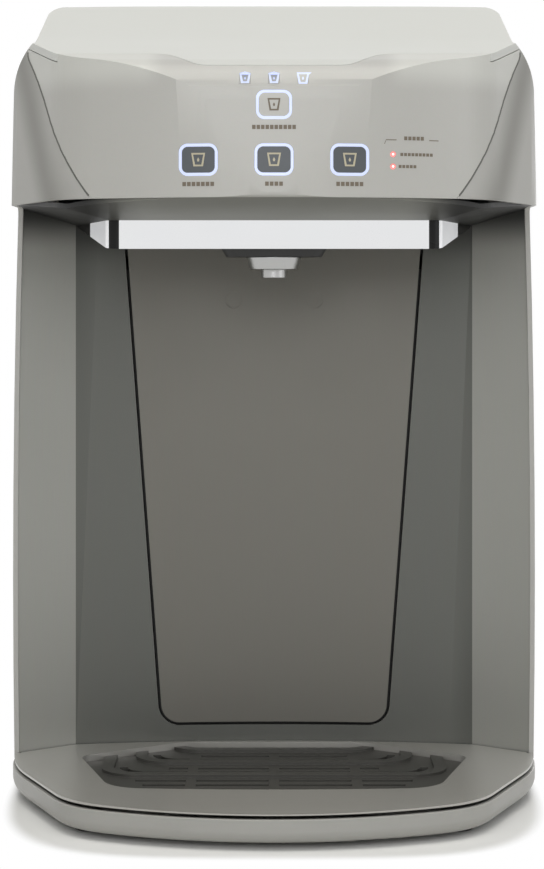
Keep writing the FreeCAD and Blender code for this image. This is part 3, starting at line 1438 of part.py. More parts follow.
SLOPE = "((band_slope_top - band_bottom) / (band_front_reach + band_rear_behind))"
band_sketch = outline("band_plan", "plan", both_sides([
    ("band_rear_half + 2 * (band_rear_half - band_front_half) * band_thickness * 3"
     " / (band_front_reach + band_rear_behind)", behind("band_rear_behind + 6 * band_thickness"), None),
    ("band_front_half", ahead("band_front_reach"), "band_corner_radius"),
]), "band_bottom")
band_outside = extrude("band_outside", band_sketch, "plan", "band_top - band_bottom")
band_inside = grown("band_inside", band_sketch, "plan", "-band_thickness", "band_bottom - 1", "band_top - band_bottom + 2")
band_end = box("band_end", WIDE, (behind("band_rear_behind - seam"), REAR), ("0", "overall_height"))
below_band = above("below_band", ahead("band_front_reach"), "band_bottom", "0", "-(%s)" % SLOPE)
node("chrome_band", carve("band_solid", meet("band_cut", band_outside, below_band), band_inside, band_end))
housing_block = grown("housing_block", band_sketch, "plan", "-(band_thickness + seam / 4)", "band_bottom",
                      "band_top - band_bottom - seam / 4")
below_housing = above("below_housing", ahead("band_front_reach"), "band_bottom + housing_recess", "0",
                      "-(%s)" % SLOPE)
spout_bore = rod("spout_way", "spout_radius + seam / 8", "overall_height", "z", "0", ahead("nozzle_reach"))
node("nozzle_housing", carve("housing_solid", meet("housing_cut", housing_block, below_housing), band_end, spout_bore))

# Nozzle: tapered base, collar and outlet spout

nozzle_low = outline("nozzle_low", "plan", [
    (corner[0], ahead("nozzle_reach + (%s)" % corner[1]), corner[2]) for corner in
    rectangle("nozzle_base_low_half", "nozzle_base_depth * 0.39", "nozzle_corner_radius")], "nozzle_base_bottom")
nozzle_high = outline("nozzle_high", "plan", [
    (corner[0], ahead("nozzle_reach + (%s)" % corner[1]), corner[2]) for corner in
    rectangle("nozzle_base_half", "nozzle_base_depth / 2", "nozzle_corner_radius")], "nozzle_base_top")
nozzle_room = above("nozzle_room", ahead("band_front_reach"), "band_bottom + housing_recess - seam / 4", "0",
                    "-(%s)" % SLOPE)
node("nozzle_base", carve("nozzle_base_solid", lofted("nozzle_taper", nozzle_low, nozzle_high), nozzle_room, spout_bore))
node("nozzle_collar", turned("collar", [
    ("spout_radius + seam / 8", "collar_bottom", None),
    ("collar_low_radius", "collar_bottom", None),
    ("collar_top_radius", "nozzle_base_bottom", None),
    ("spout_radius + seam / 8", "nozzle_base_bottom", None),
], "0", ahead("nozzle_reach")))
node("outlet_spout", turned("spout", [
    ("spout_bore_radius", "spout_bottom", None),
    ("spout_radius", "spout_bottom", None),
    ("spout_radius", "spout_top", None),
    ("spout_bore_radius", "spout_top", None),
], "0", ahead("nozzle_reach")))

# Dispensing valves over the spout

VALVE_LOW = "(band_top + underside_wall)"
valve_block = box("valve_block", ("-valve_half", "valve_half"),
                  (ahead("nozzle_reach + valve_depth / 2"), ahead("nozzle_reach - valve_depth / 2")),
                  (VALVE_LOW, VALVE_LOW + " + valve_block_height"))
valve_bore = rod("valve_bore", "spout_radius + seam / 8", "spout_top - (%s) + 1" % VALVE_LOW, "z", "0",
                 ahead("nozzle_reach"), VALVE_LOW + " - 1")
VALVE_PORT_Z = "(%s + valve_block_height * 0.6)" % VALVE_LOW
block_ports = []
for side, sign in (("natural", "-"), ("cold", "")):
    block_ports.append(rod(side + "_valve_port", "port_radius", "port_length + 2", "y", sign + "valve_pitch / 2",
                           ahead("nozzle_reach - valve_depth / 2 + 2"), VALVE_PORT_Z))
node("outlet_manifold", cut("outlet_manifold_solid", fuse("outlet_manifold_body", valve_block, *block_ports),
                            valve_bore))
for side, sign in (("natural", "-"), ("cold", "")):
    coil = rod(side + "_coil", "valve_radius", "valve_height", "z", sign + "valve_pitch / 2",
               ahead("nozzle_reach"), VALVE_LOW + " + valve_block_height")
    cap = rod(side + "_valve_cap", "valve_radius * 0.5", "valve_height * 0.15", "z", sign + "valve_pitch / 2",
              ahead("nozzle_reach"), VALVE_LOW + " + valve_block_height + valve_height")
    node(side + "_valve", fuse(side + "_valve_solid", coil, cap))

# Chassis: an upright bulkhead behind the filter bay and a shelf behind it

BULKHEAD_Z = "(foot_height + pan_floor)"
bulkhead = box("bulkhead", ("-chassis_half", "chassis_half"),
               (behind("chassis_behind"), behind("chassis_behind + chassis_sheet")), (BULKHEAD_Z, "chassis_top"))
shelf = box("shelf", ("-chassis_half", "chassis_half"),
            (behind("chassis_behind"), behind("chassis_behind + shelf_depth")),
            ("shelf_height", "shelf_height + chassis_sheet"))
chassis_tools = []
for name, step in PORTS:
    chassis_tools.append(rod(name + "_bulkhead_hole", "port_radius + seam", "bay_rear", "y", step + " * port_pitch",
                             behind("bay_rear"), "port_height"))
node("chassis", cut("chassis_solid", fuse("chassis_sheets", bulkhead, shelf), *chassis_tools))

# Cooling: compressor, condenser and cold tank

COMPRESSOR = ("compressor_half_offset", behind("compressor_behind"))
node("compressor", turned("compressor_shell", [
    ("0", "compressor_bottom", None),
    ("compressor_radius", "compressor_bottom", "compressor_edge"),
    ("compressor_radius", "compressor_bottom + compressor_height", "compressor_edge"),
    ("0", "compressor_bottom + compressor_height", None),
], *COMPRESSOR))
mount_plate = box("mount_plate", ("compressor_half_offset - mount_half", "compressor_half_offset + mount_half"),
                  (behind("compressor_behind - mount_half"), behind("compressor_behind + mount_half")),
                  ("compressor_bottom - mount_sheet", "compressor_bottom"))
node("compressor_plate", mount_plate)
rubbers = []
for x_sign in ("-", "+"):
    for y_sign in ("-", "+"):
        rubbers.append(rod("mount_%s_%s" % ("left" if x_sign == "-" else "right", "front" if y_sign == "-" else "rear"),
                           "mount_radius", "compressor_bottom - mount_sheet - (%s)" % BULKHEAD_Z, "z",
                           "compressor_half_offset %s (mount_half - 1.5 * mount_radius)" % x_sign,
                           behind("compressor_behind %s (mount_half - 1.5 * mount_radius)" % y_sign), BULKHEAD_Z))
node("compressor_mounts", group("mounts", *rubbers))
TANK = ("tank_half_offset", behind("tank_behind"))
TANK_LOW = "(shelf_height + chassis_sheet + insulation)"
tank_shell = rod("tank_shell", "tank_radius", "tank_height", "z", *TANK, TANK_LOW)
tank_ports = []
for name, shift in (("inlet", "-"), ("outlet", "+")):
    tank_ports.append(rod("tank_" + name, "port_radius", "insulation + port_length", "z",
                          "tank_half_offset %s tank_port_offset" % shift, behind("tank_behind"),
                          TANK_LOW + " + tank_height"))
node("cold_tank", fuse("tank_solid", tank_shell, *tank_ports))
sleeve_room = rod("sleeve_bore", "tank_radius", "tank_height", "z", *TANK, TANK_LOW)
sleeve_body = rod("sleeve_body", "tank_radius + sleeve_wall", "tank_height * 0.7", "z", *TANK,
                  TANK_LOW + " + tank_height * 0.15")
node("evaporator_sleeve", cut("sleeve_solid", sleeve_body, sleeve_room))
jacket = rod("jacket", "tank_radius + insulation", "tank_height + 2 * insulation", "z", *TANK,
             TANK_LOW + " - insulation")
tank_hollow = rod("tank_hollow", "tank_radius + sleeve_wall + seam / 4", "tank_height", "z", *TANK, TANK_LOW)
port_ways = []
for name, shift in (("inlet", "-"), ("outlet", "+")):
    port_ways.append(rod("tank_%s_way" % name, "port_radius + seam / 2", "insulation * 2", "z",
                         "tank_half_offset %s tank_port_offset" % shift, behind("tank_behind"),
                         TANK_LOW + " + tank_height - 1"))
for side, x_range in (("left", ("-overall_width", "tank_half_offset - seam / 4")),
                      ("right", ("tank_half_offset + seam / 4", "overall_width"))):
    half_zone = box(side + "_jacket_zone", x_range, ("-overall_depth", "overall_depth"), ("0", "overall_height"))
    node("insulation_" + side, cut(side + "_jacket", common(side + "_jacket_half", jacket, half_zone),
                                   fuse(side + "_tank_space", tank_hollow, *port_ways)))

# Swept tubes: straight runs with tangent bends


def tube(name, points, radius, bend):
    """A solid tube along a path whose corners are rounded."""
    path = [Vector(value(x), value(y), value(z)) for x, y, z in points]
    turn = value(bend)
    edges = []
    start = path[0]
    for index in range(1, len(path) - 1):
        here = path[index]
        back = (path[index - 1] - here).normalize()
        on = (path[index + 1] - here).normalize()
        half = back.getAngle(on) / 2
        leave = here + back * (turn / math.tan(half))
        arrive = here + on * (turn / math.tan(half))
        centre = here + (back + on).normalize() * (turn / math.sin(half))
        middle = centre + (here - centre).normalize() * turn
        edges.append(Part.LineSegment(start, leave).toShape())
        edges.append(Part.Arc(leave, middle, arrive).toShape())
        start = arrive
    edges.append(Part.LineSegment(start, path[-1]).toShape())
    wire = Part.Wire(edges)
    ring = Part.Wire([Part.makeCircle(value(radius), path[0], path[1] - path[0])])
    return feature(name, wire.makePipeShell([ring], True, False))


CONDENSER_Y = behind("condenser_behind")
condenser_points = [("-condenser_half", CONDENSER_Y, "condenser_low")]
for row in range(CONDENSER_ROWS - 1):
    low = "condenser_low + %d * (condenser_high - condenser_low) / %d" % (row, CONDENSER_ROWS - 1)
    high = "condenser_low + %d * (condenser_high - condenser_low) / %d" % (row + 1, CONDENSER_ROWS - 1)
    x = "condenser_half" if row % 2 == 0 else "-condenser_half"
    condenser_points.append((x, CONDENSER_Y, low))
    condenser_points.append((x, CONDENSER_Y, high))
condenser_points.append(("condenser_half", CONDENSER_Y, "condenser_high"))
node("condenser", tube("condenser_tube", condenser_points, "condenser_tube_radius",
                       "(condenser_high - condenser_low) / %d * 0.499" % (CONDENSER_ROWS - 1)))

# Water fittings, inlet valve, hoses and boards

fitting = rod("fitting_body", "inlet_radius", "recess_depth - wall", "y", INLET_X, WALL_Y + " - 2 * wall", RECESS_Z)
fitting_nut = rod("fitting_nut", "inlet_radius * 1.4", "wall", "y", INLET_X, WALL_Y + " - wall - seam / 4", RECESS_Z)
fitting_stem = rod("fitting_stem", "port_radius", "port_length", "y", INLET_X, WALL_Y + " - wall - port_length",
                   RECESS_Z)
fitting_bore = rod("fitting_bore", "inlet_bore_radius", "inlet_bore_depth", "y", INLET_X,
                   WALL_Y + " + recess_depth - 3 * wall - inlet_bore_depth", RECESS_Z)
node("inlet_fitting", cut("fitting_solid", fuse("fitting_parts", fitting, fitting_nut, fitting_stem), fitting_bore))
gland = rod("gland_body", "gland_radius", "recess_depth - wall", "y", GLAND_X, WALL_Y + " - 2 * wall", RECESS_Z)
gland_nut = rod("gland_nut", "gland_radius * 1.4", "wall", "y", GLAND_X, WALL_Y + " - wall - seam / 4", RECESS_Z)
gland_bore = rod("gland_bore", "gland_radius / 2", "recess_depth * 2", "y", GLAND_X, WALL_Y + " - recess_depth",
                 RECESS_Z)
node("cord_gland", cut("gland_solid", fuse("gland_parts", gland, gland_nut), gland_bore))
SHELF_TOP = "(shelf_height + chassis_sheet)"
inlet_block = box("inlet_block", (INLET_X + " - valve_radius", INLET_X + " + valve_radius"),
                  (behind("inlet_valve_behind - valve_radius"), behind("inlet_valve_behind + valve_radius")),
                  (SHELF_TOP, RECESS_Z + " + port_radius * 1.5"))
inlet_coil = rod("inlet_coil", "valve_radius * 0.9", "valve_height * 0.6", "z", INLET_X, behind("inlet_valve_behind"),
                 RECESS_Z + " + port_radius * 1.5")
node("inlet_valve", fuse("inlet_valve_solid", inlet_block, inlet_coil))
hose_start = WALL_Y + " - wall - port_length"
node("inlet_hose", tube("inlet_hose_tube", [
    (INLET_X, behind("inlet_valve_behind + valve_radius"), RECESS_Z),
    (INLET_X, hose_start, RECESS_Z),
], "hose_radius", "hose_bend"))
PORT_END = behind("bay_rear + port_length")
FEED_Y = behind("inlet_valve_behind")
node("feed_hose", tube("feed_hose_tube", [
    (INLET_X + " + valve_radius", FEED_Y, RECESS_Z),
    (INLET_X + " + valve_radius + 1.6 * hose_bend", FEED_Y, RECESS_Z),
    (INLET_X + " + valve_radius + 1.6 * hose_bend", FEED_Y, "port_height"),
    ("port_pitch", FEED_Y, "port_height"),
    ("port_pitch", PORT_END, "port_height"),
], "hose_radius", "hose_bend"))
TANK_PORT_TOP = "(%s + tank_height + insulation + port_length)" % TANK_LOW
RISE_Y = behind("bay_rear + port_length + 0.82 * hose_bend")
DROP_Y = ahead("nozzle_reach - 4 * hose_bend")
VALVE_PORT_END = ahead("nozzle_reach - valve_depth / 2 - port_length")
node("filtered_hose", tube("filtered_hose_tube", [
    ("0", PORT_END, "port_height"),
    ("0", RISE_Y, "port_height"),
    ("0", RISE_Y, TANK_PORT_TOP + " + 1.5 * hose_bend"),
    ("tank_half_offset", behind("tank_behind - 1.2 * tank_radius"), TANK_PORT_TOP + " + 1.5 * hose_bend"),
    ("tank_half_offset - tank_port_offset", behind("tank_behind"), TANK_PORT_TOP + " + 1.5 * hose_bend"),
    ("tank_half_offset - tank_port_offset", behind("tank_behind"), TANK_PORT_TOP),
], "hose_radius", "hose_bend * 0.8"))
node("natural_hose", tube("natural_hose_tube", [
    ("-port_pitch", PORT_END, "port_height"),
    ("-port_pitch", RISE_Y, "port_height"),
    ("-port_pitch", RISE_Y, TANK_PORT_TOP + " + hose_bend"),
    ("-valve_pitch / 2", DROP_Y, TANK_PORT_TOP + " + hose_bend"),
    ("-valve_pitch / 2", DROP_Y, VALVE_PORT_Z),
    ("-valve_pitch / 2", VALVE_PORT_END, VALVE_PORT_Z),
], "hose_radius", "hose_bend * 0.8"))
node("cold_hose", tube("cold_hose_tube", [
    ("tank_half_offset + tank_port_offset", behind("tank_behind"), TANK_PORT_TOP),
    ("tank_half_offset + tank_port_offset", behind("tank_behind"), TANK_PORT_TOP + " + 2.2 * hose_bend"),
    ("valve_pitch / 2", DROP_Y, TANK_PORT_TOP + " + 2.2 * hose_bend"),
    ("valve_pitch / 2", DROP_Y, VALVE_PORT_Z),
    ("valve_pitch / 2", VALVE_PORT_END, VALVE_PORT_Z),
], "hose_radius", "hose_bend"))
node("power_board", box("power_board", ("board_left", "board_left + board_margin * 20"),
                        (behind("chassis_behind + chassis_sheet"),
                         behind("chassis_behind + chassis_sheet + board_thickness")),
                        ("power_board_low", "power_board_high")))

# Checks, then one file for each piece

doc.recompute()
problems = [thing.Label for thing in doc.Objects if "Invalid" in thing.State or "Error" in thing.State]
for name, thing in NODES.items():
    if thing.Shape.isNull() or not thing.Shape.isValid():
        problems.append(name)
if problems:
    raise RuntimeError("These pieces failed: " + ", ".join(problems))
os.makedirs("parts", exist_ok=True)
for name, thing in NODES.items():
    thing.Shape.exportStep("parts/%s.step" % name)
    print(name, len(thing.Shape.Solids), round(thing.Shape.Volume))
print(len(NODES), "pieces written")
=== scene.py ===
import json
import math

import bmesh
import bpy
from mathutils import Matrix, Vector
from mathutils.bvhtree import BVHTree

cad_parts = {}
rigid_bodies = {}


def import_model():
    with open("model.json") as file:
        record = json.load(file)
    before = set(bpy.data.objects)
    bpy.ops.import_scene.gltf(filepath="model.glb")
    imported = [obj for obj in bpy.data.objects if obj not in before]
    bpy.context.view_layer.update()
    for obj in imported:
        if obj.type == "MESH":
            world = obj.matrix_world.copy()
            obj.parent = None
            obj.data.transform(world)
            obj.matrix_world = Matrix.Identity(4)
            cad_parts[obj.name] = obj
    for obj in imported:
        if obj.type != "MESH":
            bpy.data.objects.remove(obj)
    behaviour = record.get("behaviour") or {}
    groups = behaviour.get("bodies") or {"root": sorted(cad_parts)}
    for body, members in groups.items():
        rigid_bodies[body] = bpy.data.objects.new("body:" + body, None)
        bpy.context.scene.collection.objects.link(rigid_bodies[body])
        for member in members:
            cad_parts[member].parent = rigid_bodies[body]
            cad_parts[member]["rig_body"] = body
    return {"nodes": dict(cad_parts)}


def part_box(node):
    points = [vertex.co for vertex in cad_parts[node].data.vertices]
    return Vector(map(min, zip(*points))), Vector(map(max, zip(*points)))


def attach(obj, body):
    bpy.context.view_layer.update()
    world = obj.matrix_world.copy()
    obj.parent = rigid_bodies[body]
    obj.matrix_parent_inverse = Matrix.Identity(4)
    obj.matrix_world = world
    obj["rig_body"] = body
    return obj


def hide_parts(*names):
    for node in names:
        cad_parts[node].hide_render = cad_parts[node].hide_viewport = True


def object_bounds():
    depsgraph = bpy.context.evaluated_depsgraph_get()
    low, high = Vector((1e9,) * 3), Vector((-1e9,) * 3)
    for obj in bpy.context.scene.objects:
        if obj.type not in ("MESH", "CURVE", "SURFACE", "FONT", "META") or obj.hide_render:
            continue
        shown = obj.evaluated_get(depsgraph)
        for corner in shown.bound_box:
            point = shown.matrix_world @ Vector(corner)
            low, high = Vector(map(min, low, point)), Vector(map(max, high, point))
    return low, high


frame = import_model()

CAD_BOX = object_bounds()
MM = 0.001


# Shader nodes and colours

# A Mix node's colour sockets, which share their names with the sockets of its other kinds
MIX_FIRST, MIX_SECOND, MIX_RESULT = 6, 7, 2

# Most of a noise lies between these
NOISE_LOW, NOISE_HIGH = 0.3, 0.7


def linear(code):
    """An sRGB hex colour as the linear values that shaders take."""
    values = [int(code[at:at + 2], 16) / 255 for at in (0, 2, 4)]
    return [v / 12.92 if v <= 0.04045 else ((v + 0.055) / 1.055) ** 2.4 for v in values] + [1.0]


def shade(code, factor):
    return [min(1.0, v * factor) for v in linear(code)[:3]] + [1.0]


def add(tree, kind, sockets=None, **settings):
    """Adds a node with its settings, its sockets filled from values or from other nodes' outputs."""
    node = tree.nodes.new(kind)
    for name, setting in settings.items():
        setattr(node, name, setting)
    for socket, source in (sockets or {}).items():
        if isinstance(source, bpy.types.NodeSocket):
            tree.links.new(source, node.inputs[socket])
        else:
            node.inputs[socket].default_value = source
    return node


def blank(name):
    """A new material with only its output and the object's own coordinates."""
    material = bpy.data.materials.new(name)
    material.use_nodes = True
    tree = material.node_tree
    tree.nodes.clear()
    output = add(tree, "ShaderNodeOutputMaterial")
    place = add(tree, "ShaderNodeTexCoord")
    return material, tree, output, place.outputs["Object"]


def second_share(tree, place, aside, above, slanted):
    """How far a finish has turned to its second colour, from 0 to 1.

    It turns between two distances from the middle, between two heights, or where both say, or else in a soft
    band, given by a direction, the band's place along it and its half width. All are in millimetres."""
    spot = add(tree, "ShaderNodeSeparateXYZ", {"Vector": place}).outputs
    measures = []
    if aside:
        reach = add(tree, "ShaderNodeMath", {0: spot["X"]}, operation="ABSOLUTE")
        measures.append((reach.outputs["Value"], aside))
    if above:
        measures.append((spot["Z"], above))
    if slanted:
        direction, middle, half_width = slanted
        along = add(tree, "ShaderNodeVectorMath", {0: place, 1: direction}, operation="DOT_PRODUCT")
        past = add(tree, "ShaderNodeMath", {0: along.outputs["Value"], 1: middle * MM}, operation="SUBTRACT")
        off_band = add(tree, "ShaderNodeMath", {0: past.outputs["Value"]}, operation="ABSOLUTE")
        measures.append((off_band.outputs["Value"], (half_width, 0)))
    share = 1.0
    for measure, (start, end) in measures:
        turned = add(tree, "ShaderNodeMapRange", {"Value": measure, "From Min": start * MM, "From Max": end * MM},
                     interpolation_type="SMOOTHSTEP")
        both = add(tree, "ShaderNodeMath", {0: share, 1: turned.outputs["Result"]}, operation="MULTIPLY")
        share = both.outputs["Value"]
    return share


def surface(name, colour, roughness, grain_mm, relief_mm, drift=0.05, cloud_mm=70.0, stretch=(1, 1, 1),
            rough_drift=0.05, second=None, aside=None, above=None, slanted=None, shader=None):
    """A finish with slow colour drift, uneven gloss and a fine relief, each scaled from a size in millimetres.

    Where it has a second colour, which is painted shade or a painted highlight, second_share says where. Other
    sockets of the shader come in a table."""
    material, tree, output, place = blank(name)
    mapped = add(tree, "ShaderNodeMapping", {"Vector": place, "Scale": stretch}).outputs["Vector"]
    cloud = add(tree, "ShaderNodeTexNoise", {"Vector": place, "Scale": 1000 / cloud_mm, "Detail": 3.0})
    grain = add(tree, "ShaderNodeTexNoise", {"Vector": mapped, "Scale": 1000 / grain_mm, "Detail": 2.0})
    tint = add(tree, "ShaderNodeMix", {
        "Factor": cloud.outputs["Fac"], MIX_FIRST: shade(colour, 1 - drift), MIX_SECOND: shade(colour, 1 + drift)},
        data_type="RGBA")
    speck_share = 0.25 * drift + 0.02
    speck = add(tree, "ShaderNodeMix", {
        "Factor": speck_share, MIX_FIRST: tint.outputs[MIX_RESULT], MIX_SECOND: grain.outputs["Color"]},
        data_type="RGBA", blend_type="OVERLAY")
    colours = speck.outputs[MIX_RESULT]
    if second:
        share = second_share(tree, place, aside, above, slanted)
        turned = add(tree, "ShaderNodeMix", {"Factor": share, MIX_FIRST: colours, MIX_SECOND: linear(second)},
                     data_type="RGBA")
        colours = turned.outputs[MIX_RESULT]
    gloss = add(tree, "ShaderNodeMapRange", {
        "Value": cloud.outputs["Fac"], "From Min": NOISE_LOW, "From Max": NOISE_HIGH,
        "To Min": roughness - rough_drift, "To Max": roughness + rough_drift})
    relief = add(tree, "ShaderNodeBump", {
        "Height": grain.outputs["Fac"], "Distance": relief_mm * MM, "Strength": 1.0})
    sockets = {"Base Color": colours, "Roughness": gloss.outputs["Result"], "Normal": relief.outputs["Normal"]}
    body = add(tree, "ShaderNodeBsdfPrincipled", {**sockets, **(shader or {})})
    tree.links.new(body.outputs["BSDF"], output.inputs["Surface"])
    return material


def glowing(name, colour, light, strength, cloud_mm=6.0):
    """A translucent light guide lit from behind, a little uneven along its length."""
    material, tree, output, place = blank(name)
    cloud = add(tree, "ShaderNodeTexNoise", {"Vector": place, "Scale": 1000 / cloud_mm, "Detail": 1.0})
    tint = add(tree, "ShaderNodeMix", {
        "Factor": cloud.outputs["Fac"], MIX_FIRST: shade(light, 0.9), MIX_SECOND: shade(light, 1.08)},
        data_type="RGBA")
    body = add(tree, "ShaderNodeBsdfPrincipled", {
        "Base Color": linear(colour), "Roughness": 0.3, "Emission Color": tint.outputs[MIX_RESULT],
        "Emission Strength": strength})
    tree.links.new(body.outputs["BSDF"], output.inputs["Surface"])
    return material


# Finishes, each named for the real material and how its surface was made. A lacquer's orange peel and a fine grain
# are drawn as coarse as they need to be to show.

SURFACES = {
    # Silver lacquer over moulded ABS: a soft satin sheen with a faint orange peel. Beside the head's front it has a
    # soft darker band of painted shade, standing for the dark reflection on the slanted shoulder.
    "silver_lacquered_abs": dict(
        colour="b2b1ad", roughness=0.5, grain_mm=1.6, relief_mm=0.006, drift=0.015,
        second="91908b", slanted=((0, -1, 0.6), 316, 24), shader={"Metallic": 0.06, "Specular IOR Level": 0.18}),
    # The same lacquer, paler, under a thin clear coat: the lid is the lightest piece
    "pale_lacquered_abs": dict(
        colour="cacbc6", roughness=0.44, grain_mm=1.6, relief_mm=0.006, drift=0.015,
        shader={"Metallic": 0.03, "Coat Weight": 0.12, "Coat Roughness": 0.3}),
    # A warmer mix for the head's front, with a painted highlight: paler in the upper corners that look up at the
    # light
    "warm_silver_lacquer": dict(
        colour="b3b2ad", roughness=0.45, grain_mm=1.4, relief_mm=0.006, drift=0.015,
        second="c6c6c0", aside=(48, 60), above=(340, 352),
        shader={"Metallic": 0.1, "Coat Weight": 0.15, "Coat Roughness": 0.3}),
    # The skirt's lacquer with painted shade: a shade darker all over, as the skirt is in shade so near the worktop
    "skirt_lacquer_painted_shade": dict(
        colour="a3a29d", roughness=0.48, grain_mm=1.6, relief_mm=0.006, drift=0.015,
        shader={"Metallic": 0.05, "Coat Weight": 0.1, "Coat Roughness": 0.4}),
    # Graphite metallic paint: darker, with fine upright streaks that stretch its reflections. Painted shade darkens
    # it towards the head, where the recess lies under the overhang.
    "graphite_metallic_paint": dict(
        colour="999993", roughness=0.44, grain_mm=0.9, relief_mm=0.008, drift=0.03, stretch=(1, 1, 0.05),
        second="3a3a38", above=(270, 291), shader={"Metallic": 0.4}),
    # The same paint on the recess's back wall, darkened all over with painted shade, and more towards the head
    "back_wall_painted_shade": dict(
        colour="62635e", roughness=0.44, grain_mm=0.9, relief_mm=0.008, drift=0.03, stretch=(1, 1, 0.05),
        second="30302e", above=(262, 286), shader={"Metallic": 0.35}),
    # The same paint under the head, without streaks, darkened with painted shade towards its sides
    "underside_painted_shade": dict(
        colour="83837c", roughness=0.5, grain_mm=0.9, relief_mm=0.008, drift=0.03,
        second="212120", aside=(58, 88), shader={"Metallic": 0.3}),
    # A browner metallic paint with the same upright streaks, on the filter's cover
    "umber_metallic_paint": dict(
        colour="716f68", roughness=0.44, grain_mm=0.9, relief_mm=0.008, drift=0.03, stretch=(1, 1, 0.05),
        shader={"Metallic": 0.35}),
    # Dark metallic paint on the grille: thin highlights along its ribs over a dark ground
    "dark_grille_paint": dict(
        colour="4a4945", roughness=0.4, grain_mm=0.9, relief_mm=0.008, drift=0.03, shader={"Metallic": 0.35}),
    # Light metallic paint on the tray, a little glossier, with a painted highlight that makes it paler towards the
    # ends of its rim
    "tray_metallic_paint": dict(
        colour="aba9a3", roughness=0.36, grain_mm=1.0, relief_mm=0.006, drift=0.03,
        second="bcbbb6", aside=(84, 106), shader={"Metallic": 0.4}),
    # Spark-eroded mould texture: an even fine grain on dark polymer
    "grained_black_abs": dict(colour="242423", roughness=0.5, grain_mm=0.5, relief_mm=0.02, drift=0.08),
    # Smoked polycarbonate with a hard coat: a smooth grey window with a faint gloss
    "smoked_polycarbonate": dict(
        colour="565a5e", roughness=0.34, grain_mm=2.0, relief_mm=0.002, drift=0.02,
        shader={"Coat Weight": 0.1, "Coat Roughness": 0.2, "Specular IOR Level": 0.3}),
    # Polypropylene as it leaves the mould: white, waxy and softly matt
    "white_polypropylene": dict(colour="dcdcd6", roughness=0.42, grain_mm=0.8, relief_mm=0.012, drift=0.03),
    # Bright chrome plating: a near mirror with a slow, faint waviness
    "polished_chrome": dict(
        colour="e4e5e6", roughness=0.07, grain_mm=30.0, relief_mm=0.004, drift=0.02, rough_drift=0.02,
        shader={"Metallic": 1.0}),
    # The plating's flanks with a painted highlight, near white with a faint painted glow though no lamp is there,
    # and gloss black for the painted dark reflection on the band's corners and back
    "chrome_flank_painted_glow": dict(
        colour="f7f7f9", roughness=0.22, grain_mm=30.0, relief_mm=0.002, drift=0.01,
        shader={"Emission Color": linear("eef0f4"), "Emission Strength": 0.3}),
    "chrome_painted_dark_reflection": dict(
        colour="131314", roughness=0.3, grain_mm=20.0, relief_mm=0.002, drift=0.04,
        shader={"Specular IOR Level": 0.2}),
    # What the eye sees in a narrow joint between two lacquered mouldings: a soft dark line
    "dim_joint_lacquer": dict(colour="5d5d58", roughness=0.6, grain_mm=1.0, relief_mm=0.004, drift=0.03),
    # Stainless steel brushed from side to side: fine level lines in a clear sheen
    "brushed_stainless": dict(
        colour="b4b4b2", roughness=0.3, grain_mm=0.6, relief_mm=0.006, stretch=(0.05, 1, 1),
        shader={"Metallic": 1.0}),
    # Dip-galvanised sheet: patches of zinc, each of its own grey
    "galvanised_steel": dict(
        colour="a2a5a6", roughness=0.42, grain_mm=6.0, relief_mm=0.01, drift=0.12, cloud_mm=9.0,
        shader={"Metallic": 0.9}),
    # Stoved enamel on pressed steel: a deep, smooth black
    "stoved_black_enamel": dict(colour="17181a", roughness=0.28, grain_mm=1.2, relief_mm=0.006),
    # Drawn copper, left bare: warm, with clouds of tarnish
    "drawn_copper": dict(
        colour="b8734e", roughness=0.32, grain_mm=0.5, relief_mm=0.008, drift=0.12, shader={"Metallic": 1.0}),
    # Moulded nitrile rubber: matt, with a dusty grain
    "black_nitrile_rubber": dict(colour="1b1b1b", roughness=0.72, grain_mm=0.4, relief_mm=0.03, drift=0.1),
    # Solder mask on a glass-fibre board: a clear green gloss
    "green_solder_mask": dict(colour="1f5a38", roughness=0.3, grain_mm=1.0, relief_mm=0.01, drift=0.08),
    # Cut polyethylene foam: a dry surface of small open cells
    "cream_polyethylene_foam": dict(colour="cfc6ab", roughness=0.8, grain_mm=1.6, relief_mm=0.25, drift=0.06),
    # Extruded polyethylene tube: milky and waxy
    "milky_polyethylene_tube": dict(colour="d5dde2", roughness=0.35, grain_mm=2.0, relief_mm=0.004, drift=0.03),
    # Pad-printed inks, brown on the lacquer and beige on the dark keys: flat, with hardly any sheen
    "pad_printed_ink": dict(colour="6f6557", roughness=0.55, grain_mm=0.3, relief_mm=0.003, drift=0.06),
    "beige_printed_ink": dict(colour="bdb59c", roughness=0.5, grain_mm=0.3, relief_mm=0.003),
}

LIT_LENSES = {
    # Frosted light guide with cool white lamps behind it: an even, pale glow
    "ice_blue_light_guide": dict(colour="8f97a8", light="ccd5f6", strength=0.8),
    # Red diffused lens, and its lit middle, where the eye sees only white
    "red_led_lens": dict(colour="a05050", light="f59a94", strength=0.85),
    "white_led_glare": dict(colour="d8d0d0", light="fff4f2", strength=1.0),
}

FINISHES = {name: surface(name, **given) for name, given in SURFACES.items()}
FINISHES.update({name: glowing(name, **given) for name, given in LIT_LENSES.items()})


# Which solids wear which finish

